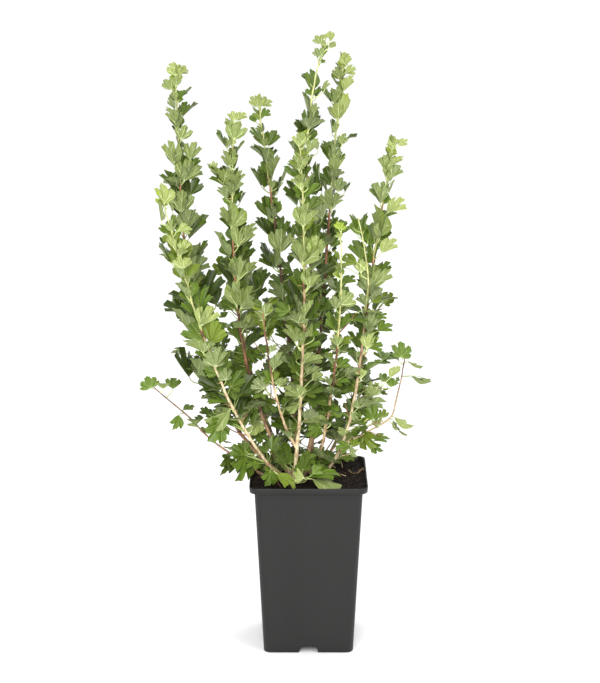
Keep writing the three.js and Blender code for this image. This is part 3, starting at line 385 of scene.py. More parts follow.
def resample(p, step):
    s = np.concatenate([[0], np.cumsum(np.linalg.norm(np.diff(p, axis=0), axis=1))])
    want = np.linspace(0, s[-1], max(3, int(s[-1] / step) + 1))
    return np.stack([np.interp(want, s, p[:, k]) for k in range(3)], -1), want


def frames(points):
    """Tangents and two side vectors along a line of points, turned as little as possible from one to the next."""
    p = np.asarray(points, float)
    t = np.gradient(p, axis=0)
    t /= np.linalg.norm(t, axis=1)[:, None] + 1e-12
    side = np.cross([0.0, 1.0, 0.02], t[0])
    if np.linalg.norm(side) < 0.1:
        side = np.cross([1.0, 0.0, 0.0], t[0])
    side = unit(side)
    out = [side]
    for i in range(1, len(p)):
        side = unit(side - np.dot(side, t[i]) * t[i])
        out.append(side)
    s = np.array(out)
    return t, s, np.cross(t, s)


def tube(soup, points, radii, sides=6, mat=0, age=None, relief=None):
    """A closed round limb along points, its skin let in and out by relief, ring by ring and side by side."""
    p = np.asarray(points, float)
    radii = np.broadcast_to(np.asarray(radii, float), (len(p),))
    t, s, b = frames(p)
    ang = np.arange(sides) * 2 * math.pi / sides
    fac = np.ones((len(p), sides)) if relief is None else relief
    ring = p[:, None, :] + (radii[:, None] * fac)[:, :, None] * (s[:, None, :] * np.cos(ang)[None, :, None] + b[:, None, :] * np.sin(ang)[None, :, None])
    v = ring.reshape(-1, 3)
    i, k = np.meshgrid(np.arange(len(p) - 1), np.arange(sides), indexing="ij")
    a = (i * sides + k).ravel()
    c = (i * sides + (k + 1) % sides).ravel()
    quads = np.stack([a, c, c + sides, a + sides], -1)
    n = len(v)
    ends = np.array([p[0], p[-1] + t[-1] * radii[-1]])
    kk = np.arange(sides)
    base = (len(p) - 1) * sides
    tris = np.concatenate([
        np.stack([np.full(sides, n), (kk + 1) % sides, kk], -1),
        np.stack([np.full(sides, n + 1), base + kk, base + (kk + 1) % sides], -1),
    ])
    ages = None
    if age is not None:
        age = np.broadcast_to(np.asarray(age, float), (len(p),))
        ages = np.concatenate([np.repeat(age, sides), [age[0], age[-1]]])
    soup.add(np.concatenate([v, ends]), tris=tris, quads=quads, mat=mat, age=ages)


def lattice_noise(x, y, cell, seed):
    """Smooth noise between -1 and 1 over the plane, from a seeded grid."""
    g = np.random.default_rng(seed).uniform(-1, 1, (64, 64))
    u, v = np.asarray(x) / cell + 500.0, np.asarray(y) / cell + 500.0
    i, j = np.floor(u).astype(int), np.floor(v).astype(int)
    a, b = u - i, v - j
    a, b = a * a * (3 - 2 * a), b * b * (3 - 2 * b)
    f = lambda m, n: g[m % 64, n % 64]
    return (f(i, j) * (1 - a) + f(i + 1, j) * a) * (1 - b) + (f(i, j + 1) * (1 - a) + f(i + 1, j + 1) * a) * b


# ------------------------------------------------------------------ materials
def srgb(r, g, b):
    out = []
    for c in (r, g, b):
        c = c / 255.0
        out.append(c / 12.92 if c <= 0.04045 else ((c + 0.055) / 1.055) ** 2.4)
    return (*out, 1.0)


def plain(name, color, rough=0.5, spec=0.5):
    m = bpy.data.materials.new(name)
    m.use_nodes = True
    b = m.node_tree.nodes["Principled BSDF"]
    b.inputs["Base Color"].default_value = color
    b.inputs["Roughness"].default_value = rough
    b.inputs["Specular IOR Level"].default_value = spec
    return m


def node_material(name):
    m = bpy.data.materials.new(name)
    m.use_nodes = True
    t = m.node_tree
    return m, t, t.nodes["Principled BSDF"]


def noise(t, scale, detail=4.0, rough=0.55, vector=None):
    n = t.nodes.new("ShaderNodeTexNoise")
    n.inputs["Scale"].default_value = scale
    n.inputs["Detail"].default_value = detail
    n.inputs["Roughness"].default_value = rough
    if vector is not None:
        t.links.new(vector, n.inputs["Vector"])
    return n


def ramp(t, fac, stops):
    r = t.nodes.new("ShaderNodeValToRGB")
    e = r.color_ramp.elements
    while len(e) > 1:
        e.remove(e[-1])
    e[0].position, e[0].color = stops[0]
    for pos, col in stops[1:]:
        x = e.new(pos)
        x.color = col
    t.links.new(fac, r.inputs["Fac"])
    return r


def bump(t, height, strength, distance, normal=None):
    b = t.nodes.new("ShaderNodeBump")
    b.inputs["Strength"].default_value = strength
    b.inputs["Distance"].default_value = distance
    t.links.new(height, b.inputs["Height"])
    if normal is not None:
        t.links.new(normal, b.inputs["Normal"])
    return b


def coords(t, scale=(1, 1, 1)):
    c = t.nodes.new("ShaderNodeTexCoord")
    m = t.nodes.new("ShaderNodeMapping")
    m.inputs["Scale"].default_value = scale
    t.links.new(c.outputs["Object"], m.inputs["Vector"])
    return m.outputs["Vector"]


def mix_color(t, fac, a, b, mode="MIX"):
    m = t.nodes.new("ShaderNodeMix")
    m.data_type = "RGBA"
    m.blend_type = mode
    for key, kind, val in (("Factor", "VALUE", fac), ("A", "RGBA", a), ("B", "RGBA", b)):
        i = [s for s in m.inputs if s.name == key and s.type == kind][0]
        if isinstance(val, bpy.types.NodeSocket):
            t.links.new(val, i)
        else:
            i.default_value = val
    return [s for s in m.outputs if s.type == "RGBA"][0]


def range_map(t, value, lo, hi, to_lo, to_hi):
    m = t.nodes.new("ShaderNodeMapRange")
    m.inputs["From Min"].default_value = lo
    m.inputs["From Max"].default_value = hi
    m.inputs["To Min"].default_value = to_lo
    m.inputs["To Max"].default_value = to_hi
    t.links.new(value, m.inputs["Value"])
    return m.outputs["Result"]


def pot_material(name, dark, light, rough, spec):
    """Satin black-grey plastic with faint flow mottle and upright scuffs."""
    m, t, b = node_material(name)
    big = noise(t, 14.0, 3.0, 0.5, coords(t, (1, 1, 0.35)))
    fine = noise(t, 900.0, 3.0, 0.6, coords(t))
    scuff = noise(t, 260.0, 2.0, 0.6, coords(t, (1, 1, 0.12)))
    col = ramp(t, big.outputs["Fac"], [(0.25, dark), (0.75, light)])
    t.links.new(col.outputs["Color"], b.inputs["Base Color"])
    t.links.new(range_map(t, scuff.outputs["Fac"], 0.3, 0.7, rough - 0.05, rough + 0.07), b.inputs["Roughness"])
    b.inputs["Specular IOR Level"].default_value = spec
    n1 = bump(t, fine.outputs["Fac"], 0.10, 0.0004)
    n2 = bump(t, big.outputs["Fac"], 0.05, 0.004, n1.outputs["Normal"])
    t.links.new(n2.outputs["Normal"], b.inputs["Normal"])
    return m


def compost_material():
    m, t, b = node_material("compost")
    n = noise(t, 210.0, 6.0, 0.65, coords(t))
    w = noise(t, 40.0, 3.0, 0.5, coords(t))
    col = ramp(t, n.outputs["Fac"], [(0.30, (0.003, 0.0022, 0.0015, 1)), (0.52, (0.010, 0.0066, 0.0044, 1)), (0.68, (0.026, 0.017, 0.011, 1)), (0.80, (0.056, 0.038, 0.024, 1))])
    dark = mix_color(t, w.outputs["Fac"], col.outputs["Color"], (0.008, 0.0055, 0.004, 1))
    t.links.new(dark, b.inputs["Base Color"])
    b.inputs["Roughness"].default_value = 0.9
    b.inputs["Specular IOR Level"].default_value = 0.25
    n1 = bump(t, n.outputs["Fac"], 0.8, 0.0015)
    t.links.new(n1.outputs["Normal"], b.inputs["Normal"])
    return m


def bark_material():
    """Young wood: pale green at the tip, salmon and red-brown further down, then tan and straw with peeling skin."""
    m, t, b = node_material("bark")
    a = t.nodes.new("ShaderNodeAttribute")
    a.attribute_name = "age"
    streak = noise(t, 420.0, 4.0, 0.6, coords(t, (1, 1, 0.16)))
    patch = noise(t, 70.0, 4.0, 0.6, coords(t, (1, 1, 0.4)))
    spread = t.nodes.new("ShaderNodeMath")
    spread.operation = "SUBTRACT"
    t.links.new(patch.outputs["Fac"], spread.inputs[0])
    spread.inputs[1].default_value = 0.5
    wob = t.nodes.new("ShaderNodeMath")
    wob.operation = "MULTIPLY_ADD"
    t.links.new(spread.outputs[0], wob.inputs[0])
    wob.inputs[1].default_value = 0.20
    t.links.new(a.outputs["Fac"], wob.inputs[2])
    col = ramp(t, wob.outputs[0], [
        (0.0, srgb(210, 216, 150)), (0.20, srgb(196, 198, 126)), (0.34, srgb(204, 166, 118)), (0.46, srgb(178, 126, 92)),
        (0.60, srgb(120, 82, 60)), (0.72, srgb(88, 62, 47)), (0.83, srgb(170, 134, 100)), (0.93, srgb(212, 189, 150)), (1.0, srgb(228, 211, 173)),
    ])
    dark = ramp(t, streak.outputs["Fac"], [(0.38, (0.36, 0.29, 0.23, 1)), (0.53, (0.90, 0.88, 0.85, 1)), (0.75, (1.14, 1.12, 1.07, 1))])
    t.links.new(mix_color(t, 0.8, col.outputs["Color"], dark.outputs["Color"], "MULTIPLY"), b.inputs["Base Color"])
    t.links.new(range_map(t, streak.outputs["Fac"], 0.3, 0.7, 0.55, 0.8), b.inputs["Roughness"])
    n1 = bump(t, streak.outputs["Fac"], 0.5, 0.0006)
    n2 = bump(t, patch.outputs["Fac"], 0.4, 0.0012, n1.outputs["Normal"])
    t.links.new(n2.outputs["Normal"], b.inputs["Normal"])
    return m


POT_MAT = pot_material("pot_plastic", (0.0092, 0.0087, 0.0084, 1), (0.0126, 0.0120, 0.0116, 1), 0.48, 0.31)
# the inside of the pot is the same plastic made a shade darker: painted shade for the hollow of the pot
SHADED_INSIDE_MAT = pot_material("pot_inside_painted_shade", (0.008, 0.0075, 0.007, 1), (0.011, 0.0105, 0.010, 1), 0.45, 0.3)
SOIL_MAT = compost_material()
BARK_MAT = bark_material()
CRUMB_MATS = [plain("crumb_black", srgb(20, 14, 10), 0.9, 0.25), plain("crumb_brown", srgb(35, 24, 17), 0.9, 0.25), plain("crumb_bark", srgb(55, 39, 27), 0.85, 0.3), plain("crumb_straw", srgb(108, 84, 58), 0.8, 0.3), plain("dry_root", srgb(118, 98, 68), 0.8, 0.3)]
SPINE_MAT = plain("spine", srgb(206, 178, 120), 0.5)
PETIOLE_MATS = [plain("stalk_pale", srgb(196, 208, 132), 0.5), plain("stalk_green", srgb(158, 176, 98), 0.5), plain("stalk_deep", srgb(124, 142, 74), 0.55)]

# leaf tints, from the tips of the shoots down: upper side along and between its veins, under side the same, veins above and below
TINTS = [
    ("lime", (143, 164, 56), (131, 151, 47), (147, 161, 88), (136, 149, 77), (184, 200, 114), (208, 216, 160)),
    ("light", (114, 133, 42), (102, 120, 34), (125, 140, 75), (114, 128, 64), (156, 175, 92), (194, 204, 148)),
    ("fresh", (97, 122, 40), (85, 108, 32), (120, 135, 79), (109, 123, 68), (144, 163, 84), (188, 197, 145)),
    ("mid", (86, 107, 35), (73, 93, 28), (120, 133, 85), (109, 121, 74), (130, 148, 74), (184, 190, 140)),
    ("deep", (66, 83, 28), (53, 69, 22), (109, 121, 77), (98, 109, 66), (108, 123, 60), (168, 174, 124)),
]
LEAF_MATS = []
for tint, up, up_dark, under, under_dark, vein_up, vein_under in TINTS:
    LEAF_MATS += [
        plain(f"leaf_{tint}_upper", srgb(*up), 0.36, 0.30),
        plain(f"leaf_{tint}_upper_between", srgb(*up_dark), 0.38, 0.30),
        plain(f"leaf_{tint}_under", srgb(*under), 0.5, 0.4),
        plain(f"leaf_{tint}_under_between", srgb(*under_dark), 0.5, 0.4),
        plain(f"vein_{tint}_upper", srgb(*vein_up), 0.5, 0.4),
        plain(f"vein_{tint}_under", srgb(*vein_under), 0.6, 0.35),
    ]


# ------------------------------------------------------------------ one leaf
def leaf_shape(kind):
    """Numbers for one leaf: a fan with a wedge foot high on the shoots, a rounder five-lobed one low down."""
    if kind == "fan":
        per = math.radians(13.4 * rng.normal(1, 0.04))
        knots, env, end = [0, 1.5, 3, 4, 4.75], [1.0, 0.955, 0.90, 0.69, 0.36], 4.75
        lobes = [(0, 1.0), (2.9, 0.92), (-2.9, 0.92)]
        cuts = [(1.5, rng.uniform(0.10, 0.34))]
    else:
        per = math.radians(14.4 * rng.normal(1, 0.04))
        knots, env, end = [0, 1.5, 3, 4.5, 5.6, 6.5, 7.2], [1.0, 0.955, 0.90, 0.79, 0.71, 0.59, 0.40], 7.2
        lobes = [(0, 1.0), (3, 0.92), (-3, 0.92), (5.7, 0.70), (-5.7, 0.70)]
        cuts = [(1.5, rng.uniform(0.16, 0.34)), (4.5, rng.uniform(0.12, 0.26))]
    env = np.array(env) * np.concatenate([[1.0], rng.normal(1, 0.03, len(env) - 1)])
    return dict(per=per, knots=np.array(knots) * per, env=env, reach=end * per, lobes=[(a * per, length) for a, length in lobes],
                cuts=[(s * a * per, d * rng.uniform(0.8, 1.15)) for a, d in cuts for s in (-1, 1)], cut_width=0.46 * per,
                teeth=rng.uniform(0.055, 0.09), rounding=rng.uniform(0.04, 0.16), fold=rng.uniform(0.11, 0.21), pleat=rng.uniform(0.004, 0.010), cup=rng.normal(0.12, 0.10),
                wave=rng.normal(0, 0.05), phase=rng.uniform(0, 6.28), bend=rng.normal(0.22, 0.28), twist=rng.normal(0, 0.16), kind=kind)


def leaf_outline(theta, p):
    """Distance from the stalk to the leaf's edge in the direction theta from the midrib; 1 is the tip of the middle lobe."""
    a = np.abs(theta)
    r = np.interp(a, p["knots"], p["env"])
    for at, deep in p["cuts"]:
        r = r * (1 - deep * np.clip(1 - np.abs(theta - at) / p["cut_width"], 0, 1) ** 0.9)
    near = np.min([np.abs(theta - at) for at, _ in p["lobes"]], axis=0)
    r = r * (1 - p["rounding"] * np.clip(near / (1.5 * p["per"]), 0, 1.2) ** 2)
    return r * (1 - p["teeth"] * (1 - np.abs(np.cos(math.pi * theta / p["per"])) ** 0.6))


def leaf_height(x, y, p):
    """How far the blade rises off its plane at x, y, both in leaf lengths."""
    theta = np.arctan2(x, y)
    rad = np.hypot(x, y)
    near = np.full_like(theta, 9.0)
    for phi, _ in p["lobes"]:
        near = np.minimum(near, np.abs(theta - phi))
    ridge = np.sin(np.clip(near / (1.5 * p["per"]), 0, 1) * math.pi / 2)
    z = p["fold"] * rad * ridge - p["pleat"] * rad * np.cos(2 * math.pi * theta / p["per"])
    z = z + p["cup"] * rad * np.clip(np.abs(theta) / p["reach"], 0, 1.2) ** 1.7
    return z + p["wave"] * rad**2 * np.sin(2.6 * theta + p["phase"]) + 0.5 * p["wave"] * rad**3 * np.sin(7 * theta + 2.1 * p["phase"])


def leaf_point(x, y, lift, p):
    """A point of the blade in its own frame, bent along the midrib and twisted, still in leaf lengths."""
    z = leaf_height(x, y, p) + lift
    k = p["bend"]
    if abs(k) > 1e-3:
        a = k * y
        yy, zz = np.sin(a) / k - z * np.sin(a), -(1 - np.cos(a)) / k + z * np.cos(a)
    else:
        yy, zz = y, z
    w = p["twist"] * y
    return np.stack([x * np.cos(w) - 0.6 * zz * np.sin(w), yy, zz + x * np.sin(w)], -1)


def add_leaf(soup, at, along, normal, size, tint, kind="fan", shape=None):
    """Adds a leaf whose stalk meets the blade at `at`; along is the midrib, normal the upper side."""
    p = shape or leaf_shape(kind)
    y = unit(along)
    n = unit(np.asarray(normal, float) - np.dot(normal, y) * y)
    x = np.cross(y, n)
    fine = 5 if size > 13 else 3
    count = int(round(2 * p["reach"] / (p["per"] / fine))) + 1
    th = np.linspace(-p["reach"], p["reach"], count)
    edge = leaf_outline(th, p)
    rows = [0.36, 0.70, 1.0] if size > 13 else [0.55, 1.0]
    half = 0.10 / size

    def place(pts):
        return np.asarray(at, float) + size * (pts[:, :1] * x + pts[:, 1:2] * y + pts[:, 2:] * n)

    base = tint * 6
    k = np.arange(count - 1)
    between = (np.abs(np.cos(math.pi * 0.5 * (th[:-1] + th[1:]) / p["per"])) < 0.6).astype(int)
    for skin in (0, 1):
        lift = half if skin == 0 else -half
        pts = [leaf_point(np.zeros(1), np.zeros(1), lift, p)]
        for q in rows:
            pts.append(leaf_point(q * edge * np.sin(th), q * edge * np.cos(th), lift * (1 if q < 1 else 0), p))
        tris = np.stack([np.zeros(count - 1, int), 1 + k + 1, 1 + k], -1)
        quads = []
        for i in range(len(rows) - 1):
            a = 1 + i * count + k
            quads.append(np.stack([a, a + 1, a + 1 + count, a + count], -1))
        quads = np.concatenate(quads)
        if skin == 1:
            tris, quads = tris[:, ::-1], quads[:, ::-1]
        soup.add(place(np.concatenate(pts)), tris=tris, quads=quads, mat=base + 2 * skin + np.concatenate([between] * (1 + len(rows) - 1)))
    # veins: narrow strips that stand a little off each side
    for skin, width, lift in ((0, 0.60, 2.0 * half), (1, 0.90, -2.6 * half)):
        w = width / size * (0.75 + size / 90.0)
        lines = [(phi, 0.02, phi, 0.90 * length, 1.0) for phi, length in p["lobes"] if size > 13 or abs(phi) < 4 * p["per"]]
        if size > 17:
            for phi, length in p["lobes"]:
                for s in (-1, 1):
                    lines.append((phi, 0.46 * length, phi + s * 0.95 * p["per"], 0.82 * length, 0.5))
        for phi0, r0, phi1, r1, k1 in lines:
            steps = 4 if k1 == 1.0 else 2
            q = np.linspace(0, 1, steps + 1)
            cx = (r0 + (r1 - r0) * q) * np.sin(phi0 + (phi1 - phi0) * q)
            cy = (r0 + (r1 - r0) * q) * np.cos(phi0 + (phi1 - phi0) * q)
            d = np.stack([np.gradient(cx), np.gradient(cy)], -1)
            d /= np.linalg.norm(d, axis=1)[:, None] + 1e-9
            hw = 0.5 * w * k1 * (1 - 0.72 * q)
            left = leaf_point(cx - d[:, 1] * hw, cy + d[:, 0] * hw, lift, p)
            right = leaf_point(cx + d[:, 1] * hw, cy - d[:, 0] * hw, lift, p)
            i = np.arange(steps)
            quads = np.stack([i, i + 1, i + steps + 2, i + steps + 1], -1)
            if skin == 0:
                quads = quads[:, ::-1]
            soup.add(place(np.concatenate([left, right])), quads=quads, mat=base + 4 + skin)


# ------------------------------------------------------------------ gathering pieces
leaf_soups = {k: Soup() for k in ("left", "centre", "right", "low")}
petioles = Soup()
spines = Soup()
spurs = Soup()
shown = np.zeros((683, 600), bool)  # where the leaves told apart in the photo lie, in its pixels
wood = {}  # name: (soup, points, radii)
taken = []  # centres and sizes of the leaves so far, so that they don't sit in one another


def region_of(name, z):
    if z < 330:
        return "low"
    if name in ("left_back", "left_front", "mid_left", "back_left", "left_lateral"):
        return "left"
    return "right" if name in ("right", "right_side", "right_spur", "centre_right_back", "inner_right", "back_right", "right_lateral") else "centre"


def petiole(start, go, end, arrive, thick, tint):
    reach = np.linalg.norm(np.asarray(end) - start)
    c = [start, start + unit(go) * reach * 0.4, end - unit(arrive) * reach * 0.35, end]
    n = 4 if reach < 6 else 7
    tube(petioles, bezier(c, np.linspace(0, 1, n)), np.linspace(thick * 1.25, thick * 0.8, n), sides=5, mat=tint)


def crowded(centre, size, slack):
    for c, s in taken:
        if np.abs(centre[2] - c[2]) < size and np.linalg.norm(centre - c) < slack * 0.5 * (s + size):
            return True
    return False


def cover(outline):
    """Marks the inside of an outline, given in the photo's pixels."""
    lo, hi = np.floor(outline.min(axis=0)).astype(int), np.ceil(outline.max(axis=0)).astype(int) + 1
    gx, gy = np.meshgrid(np.arange(lo[0], hi[0]), np.arange(lo[1], hi[1]))
    inside = np.zeros(gx.shape, bool)
    for (x0, y0), (x1, y1) in zip(outline, np.roll(outline, -1, axis=0)):
        if y0 != y1:
            inside ^= ((y0 > gy) != (y1 > gy)) & (gx < (x1 - x0) * (gy - y0) / (y1 - y0) + x0)
    shown[lo[1]:hi[1], lo[0]:hi[0]] |= inside


FAN = [(a, r * min(1.0, 1.12 - 0.45 * abs(a))) for a in (-0.95, -0.65, -0.3, 0.0, 0.3, 0.65, 0.95) for r in (0.35, 0.68, 1.0)]
SKY_AT, SKY_SIZE = np.array(SKY, float)[:, :2], np.array(SKY, float)[:, 2:]


def in_sky(base, mid, normal, size, strict):
    """Whether a leaf would stand where the photo shows sky, or, where that is asked, past the leaves told apart in it."""
    side = np.cross(mid, normal)
    px = to_photo(np.array([base + size * r * (mid * math.cos(a) + side * math.sin(a)) for a, r in FAN]))
    if ((((px[:, None, :] - SKY_AT) / SKY_SIZE) ** 2).sum(axis=2) < 1).any():
        return True
    if strict:
        i = np.clip(np.rint(px).astype(int), 0, [599, 682])
        return grown_shown[i[:, 1], i[:, 0]].mean() < 0.9
    return False


def leaf_on(node, axis, out, size, stalk, rise, lift, tint, region, kind="fan", stalk_mat=1, roll=0.3, slack=0.5, tries=7, sway=0.35, strict=False):
    """Grows one leaf from a node.
    axis: the way the stem runs; out: the side the leaf leaves on; stalk: length of its stalk;
    rise: how steeply the stalk leaves, lift: how steeply the blade stands, both in radians above the outward direction."""
    for n in range(tries):
        o = rotate(out, axis, rng.normal(0, sway * (1 + 0.5 * n)))
        size *= 0.96 if n else 1.0
        e1 = rise + rng.normal(0, 0.14)
        e2 = lift + rng.normal(0, 0.18)
        up = unit(axis * 0.6 + np.array([0, 0, 0.4]))
        go = unit(o * math.cos(e1) + up * math.sin(e1))
        side = unit(np.cross(up, o))
        mid = unit(o * math.cos(e2) + up * math.sin(e2) + side * rng.normal(0, 0.25))
        end = node + go * stalk * 0.75 + mid * stalk * 0.25
        centre = end + mid * size * 0.5
        normal = rotate(unit(up * math.cos(e2) - o * math.sin(e2)), mid, rng.normal(0, roll))
        wrong = end[1] + mid[1] * size > DEEPEST or in_sky(end, mid, normal, size, strict)
        if not wrong and not crowded(centre, size, slack):
            break
    if wrong or crowded(centre, size, slack * 0.8):
        return False
    taken.append((centre, size))
    petiole(node, go, end, mid, 0.5 + size * 0.007, stalk_mat)
    add_leaf(leaf_soups[region], end, mid, normal, size, tint, kind)
    return True


def spine(at, axis, out, length):
    d = unit(out + axis * rng.uniform(-0.05, 0.5))
    tube(spines, np.array([at, at + d * length * 0.5 + axis * 0.02 * length, at + d * length]), [0.42, 0.24, 0.03], sides=4)


def ages_at(points, table):
    py = to_photo(points)[:, 1]
    y, a = zip(*sorted(table))
    return np.interp(py, y, a)


# ------------------------------------------------------------------ wood
def make_shoot(name, s):
    pts, along = resample(bezier(s["c"], np.linspace(0, 1, 300)), 2.5)
    keep = along < along[-1] - 9.0  # the last of the height is leaf
    pts, along = pts[keep], along[keep]
    length = along[-1]
    nodes, d, gap = [], 2.0, 13.0
    while d < length - 8:
        nodes.append(d)
        d += gap * rng.uniform(0.85, 1.2)
        gap = min(21.0, gap + 1.0)
    t, side, ahead = frames(pts)
    ks = np.array([length - d for d in nodes][::-1])
    amp = np.array([0.8 * (-1) ** i * rng.uniform(0.4, 1.2) for i in range(len(nodes))])[::-1]
    turn = rng.uniform(0, 6.28)
    if len(ks) > 2:
        a = np.interp(along, ks, amp) * np.clip(along / 25.0, 0, 1)
        phase = turn + along * 0.01
        pts = pts + a[:, None] * (side * np.cos(phase)[:, None] + ahead * np.sin(phase)[:, None])
    rad = s["r"][0] + (s["r"][1] - s["r"][0]) * (along / length) ** 0.8
    if name != "inner_left":
        rad = rad * (1 + 0.15 * np.exp(-along / 8.0))
        root = pts[0] - unit(pts[1] - pts[0]) * 9.0
        pts, along, rad = np.vstack([root, pts]), np.concatenate([[-9.0], along]), np.concatenate([[rad[0]], rad])
    swell = np.zeros(len(pts))
    for d in nodes:
        swell += 0.19 * np.exp(-(((along - (length - d)) / 2.2) ** 2))
    rad = rad * (1 + swell)
    sides = 12
    relief = 1 + 0.03 * np.sin(np.arange(sides)[None, :] * 2.5 + np.linspace(0, 2.5, len(pts))[:, None]) + rng.normal(0, 0.022, (len(pts), sides))
    dark = np.zeros(len(pts))
    for d in nodes:
        dark += 0.05 * np.exp(-(((along - (length - d)) / 3.0) ** 2))
    age = ages_at(pts, s["age"])
    age = age + np.where(age > 0.75, -1.6 * dark, np.where(age > 0.25, dark, 0.0))
    soup = Soup()
    tube(soup, pts, rad, sides=sides, relief=relief, age=age)
    wood[name] = (soup, pts, rad)
    return nodes, along, length


plan = {name: make_shoot(name, s) for name, s in SHOOTS.items()}

for name, s in LIMBS.items():
    pts, along = resample(through(s["p"]), 2.5)
    rad = np.linspace(s["r"][0], s["r"][1], len(pts))
    if len(pts) > 16:
        beat = (along % 17.0) - 8.5
        rad = rad * (1 + 0.25 * np.exp(-((beat / 2.0) ** 2)))
    sides = 10
    relief = 1 + rng.normal(0, 0.03, (len(pts), sides))
    soup = Soup()
    tube(soup, pts, rad, sides=sides, relief=relief, age=ages_at(pts, s["age"]))
    wood[name] = (soup, pts, rad)


# ------------------------------------------------------------------ the leaves told apart in the photo
def seen_leaf(name, bx, by, tx, ty, wide, side_seen, tint, off=None):
    _, pts, rad = wood[name]
    px = to_photo(pts)
    order = np.argsort(px[:, 1])
    stem_x = float(np.interp(by, px[order, 1], px[order, 0]))
    gap = abs(bx - stem_x)
    drop = by + 2.5 + min(9.0, 0.5 * gap)
    if name.endswith(("lateral", "spur")):
        i = int(np.argmin(np.hypot(px[:, 0] - bx, px[:, 1] - by - 2)))
        gap = np.hypot(*(px[i] - (bx, by)))
    else:
        i = int(np.argmin(np.hypot(0.6 * (px[:, 0] - bx), px[:, 1] - drop)))
    i = max(i, min(3, len(pts) - 1))
    foot = pts[i]
    near = {"u": -5.0, "o": 4.0}[side_seen] * math.exp(-gap / 9.0)
    y = foot[1] + (near if off is None else off)
    base = from_photo(bx, by, y)
    mmpx = np.dot(base - EYE, AHEAD) / FOCAL
    d = np.array([tx - bx, by - ty], float)
    shown = np.linalg.norm(d) * mmpx
    d /= np.linalg.norm(d)
    kind = "round" if (base[2] < 390 and wide > 0.75 and shown > 16) else "fan"
    shape = leaf_shape(kind)
    if off is not None and off < -25:
        shape["bend"] = abs(shape["bend"]) + 0.35
    th = np.linspace(-shape["reach"], shape["reach"], 45)
    rim = leaf_outline(th, shape)
    rim = leaf_point(rim * np.sin(th), rim * np.cos(th), 0.0, shape)
    tip = leaf_point(np.zeros(1), np.ones(1), 0.0, shape)[0]
    own_length, own_width, lean = math.hypot(tip[1], tip[2]), np.ptp(rim[:, 0]), math.atan2(tip[2], tip[1])
    pitch = math.radians(14 if side_seen == "u" else 10) * rng.uniform(0.5, 1.5)
    size = shown / (own_length * math.cos(pitch))
    if wide * shown > own_width * size:
        size = min(wide * shown / own_width, 44.0)
        pitch = math.acos(min(1.0, shown / (own_length * size)))
    toward = 1.0 if (side_seen == "u") == (ty < by + 2) else -1.0
    if side_seen == "o" and ty > by + 2:
        toward = 1.0
    # deep leaves low down, every third one tint lighter: painted light for the shaded lower crown
    tint -= int(tint >= 3 and base[2] < 450 and int(bx + by) % 3 == 0)
    flat = d[0] * RIGHT + d[1] * ABOVE
    mid = unit(flat * math.cos(pitch) - AHEAD * math.sin(pitch) * toward)
    facing = unit(-AHEAD + np.dot(AHEAD, mid) * mid)
    n0 = facing if side_seen == "o" else -facing
    roll = math.acos(min(1.0, wide * shown / (own_width * size)))
    to_stem = 1.0 if stem_x > 0.5 * (bx + tx) else -1.0
    cross = np.cross(mid, n0)
    if np.dot(cross, RIGHT) * to_stem < 0:
        cross = -cross
    normal = unit(n0 * math.cos(roll) + cross * math.sin(roll))
    ax = unit(pts[min(i + 1, len(pts) - 1)] - pts[i - 1])
    out = base - foot
    out = unit(out - np.dot(out, ax) * ax)
    start = foot + out * rad[i] * 0.7
    petiole(start, unit(unit(base - start) + out * 0.5), base, mid, 0.45 + size * 0.008, 0 if tint <= 1 else (1 if tint <= 3 else 2))
    taken.append((base + mid * size * 0.5, size))
    mid, normal = math.cos(lean) * mid - math.sin(lean) * normal, math.sin(lean) * mid + math.cos(lean) * normal
    add_leaf(leaf_soups[region_of(name, base[2])], base, mid, normal, size, tint, kind, shape)
    cover(to_photo(np.vstack([[base], base + size * (rim[:, :1] * np.cross(mid, normal) + rim[:, 1:2] * mid + rim[:, 2:] * normal)])))


for name, rows in SEEN.items():
    for row in rows:
        seen_leaf(name, *row)
seen_count = len(taken)
grown_shown = shown.copy()  # the same, wider by two pixels all round
for dx in range(-2, 3):
    for dy in range(-2, 3):
        grown_shown |= np.roll(shown, (dy, dx), (0, 1))


# ------------------------------------------------------------------ the rest of the leaves, grown from the nodes
def pick_tint(dist, shade):
    """Tint by distance from the tip: lime first, deeper further down and on the shaded shoots."""
    x = dist / 80.0 + rng.normal(0, 0.5) + shade * min(1.0, dist / 60.0) * 1.8
    return int(np.clip(round(x), 0, 4 if rng.random() < 0.35 else 3))


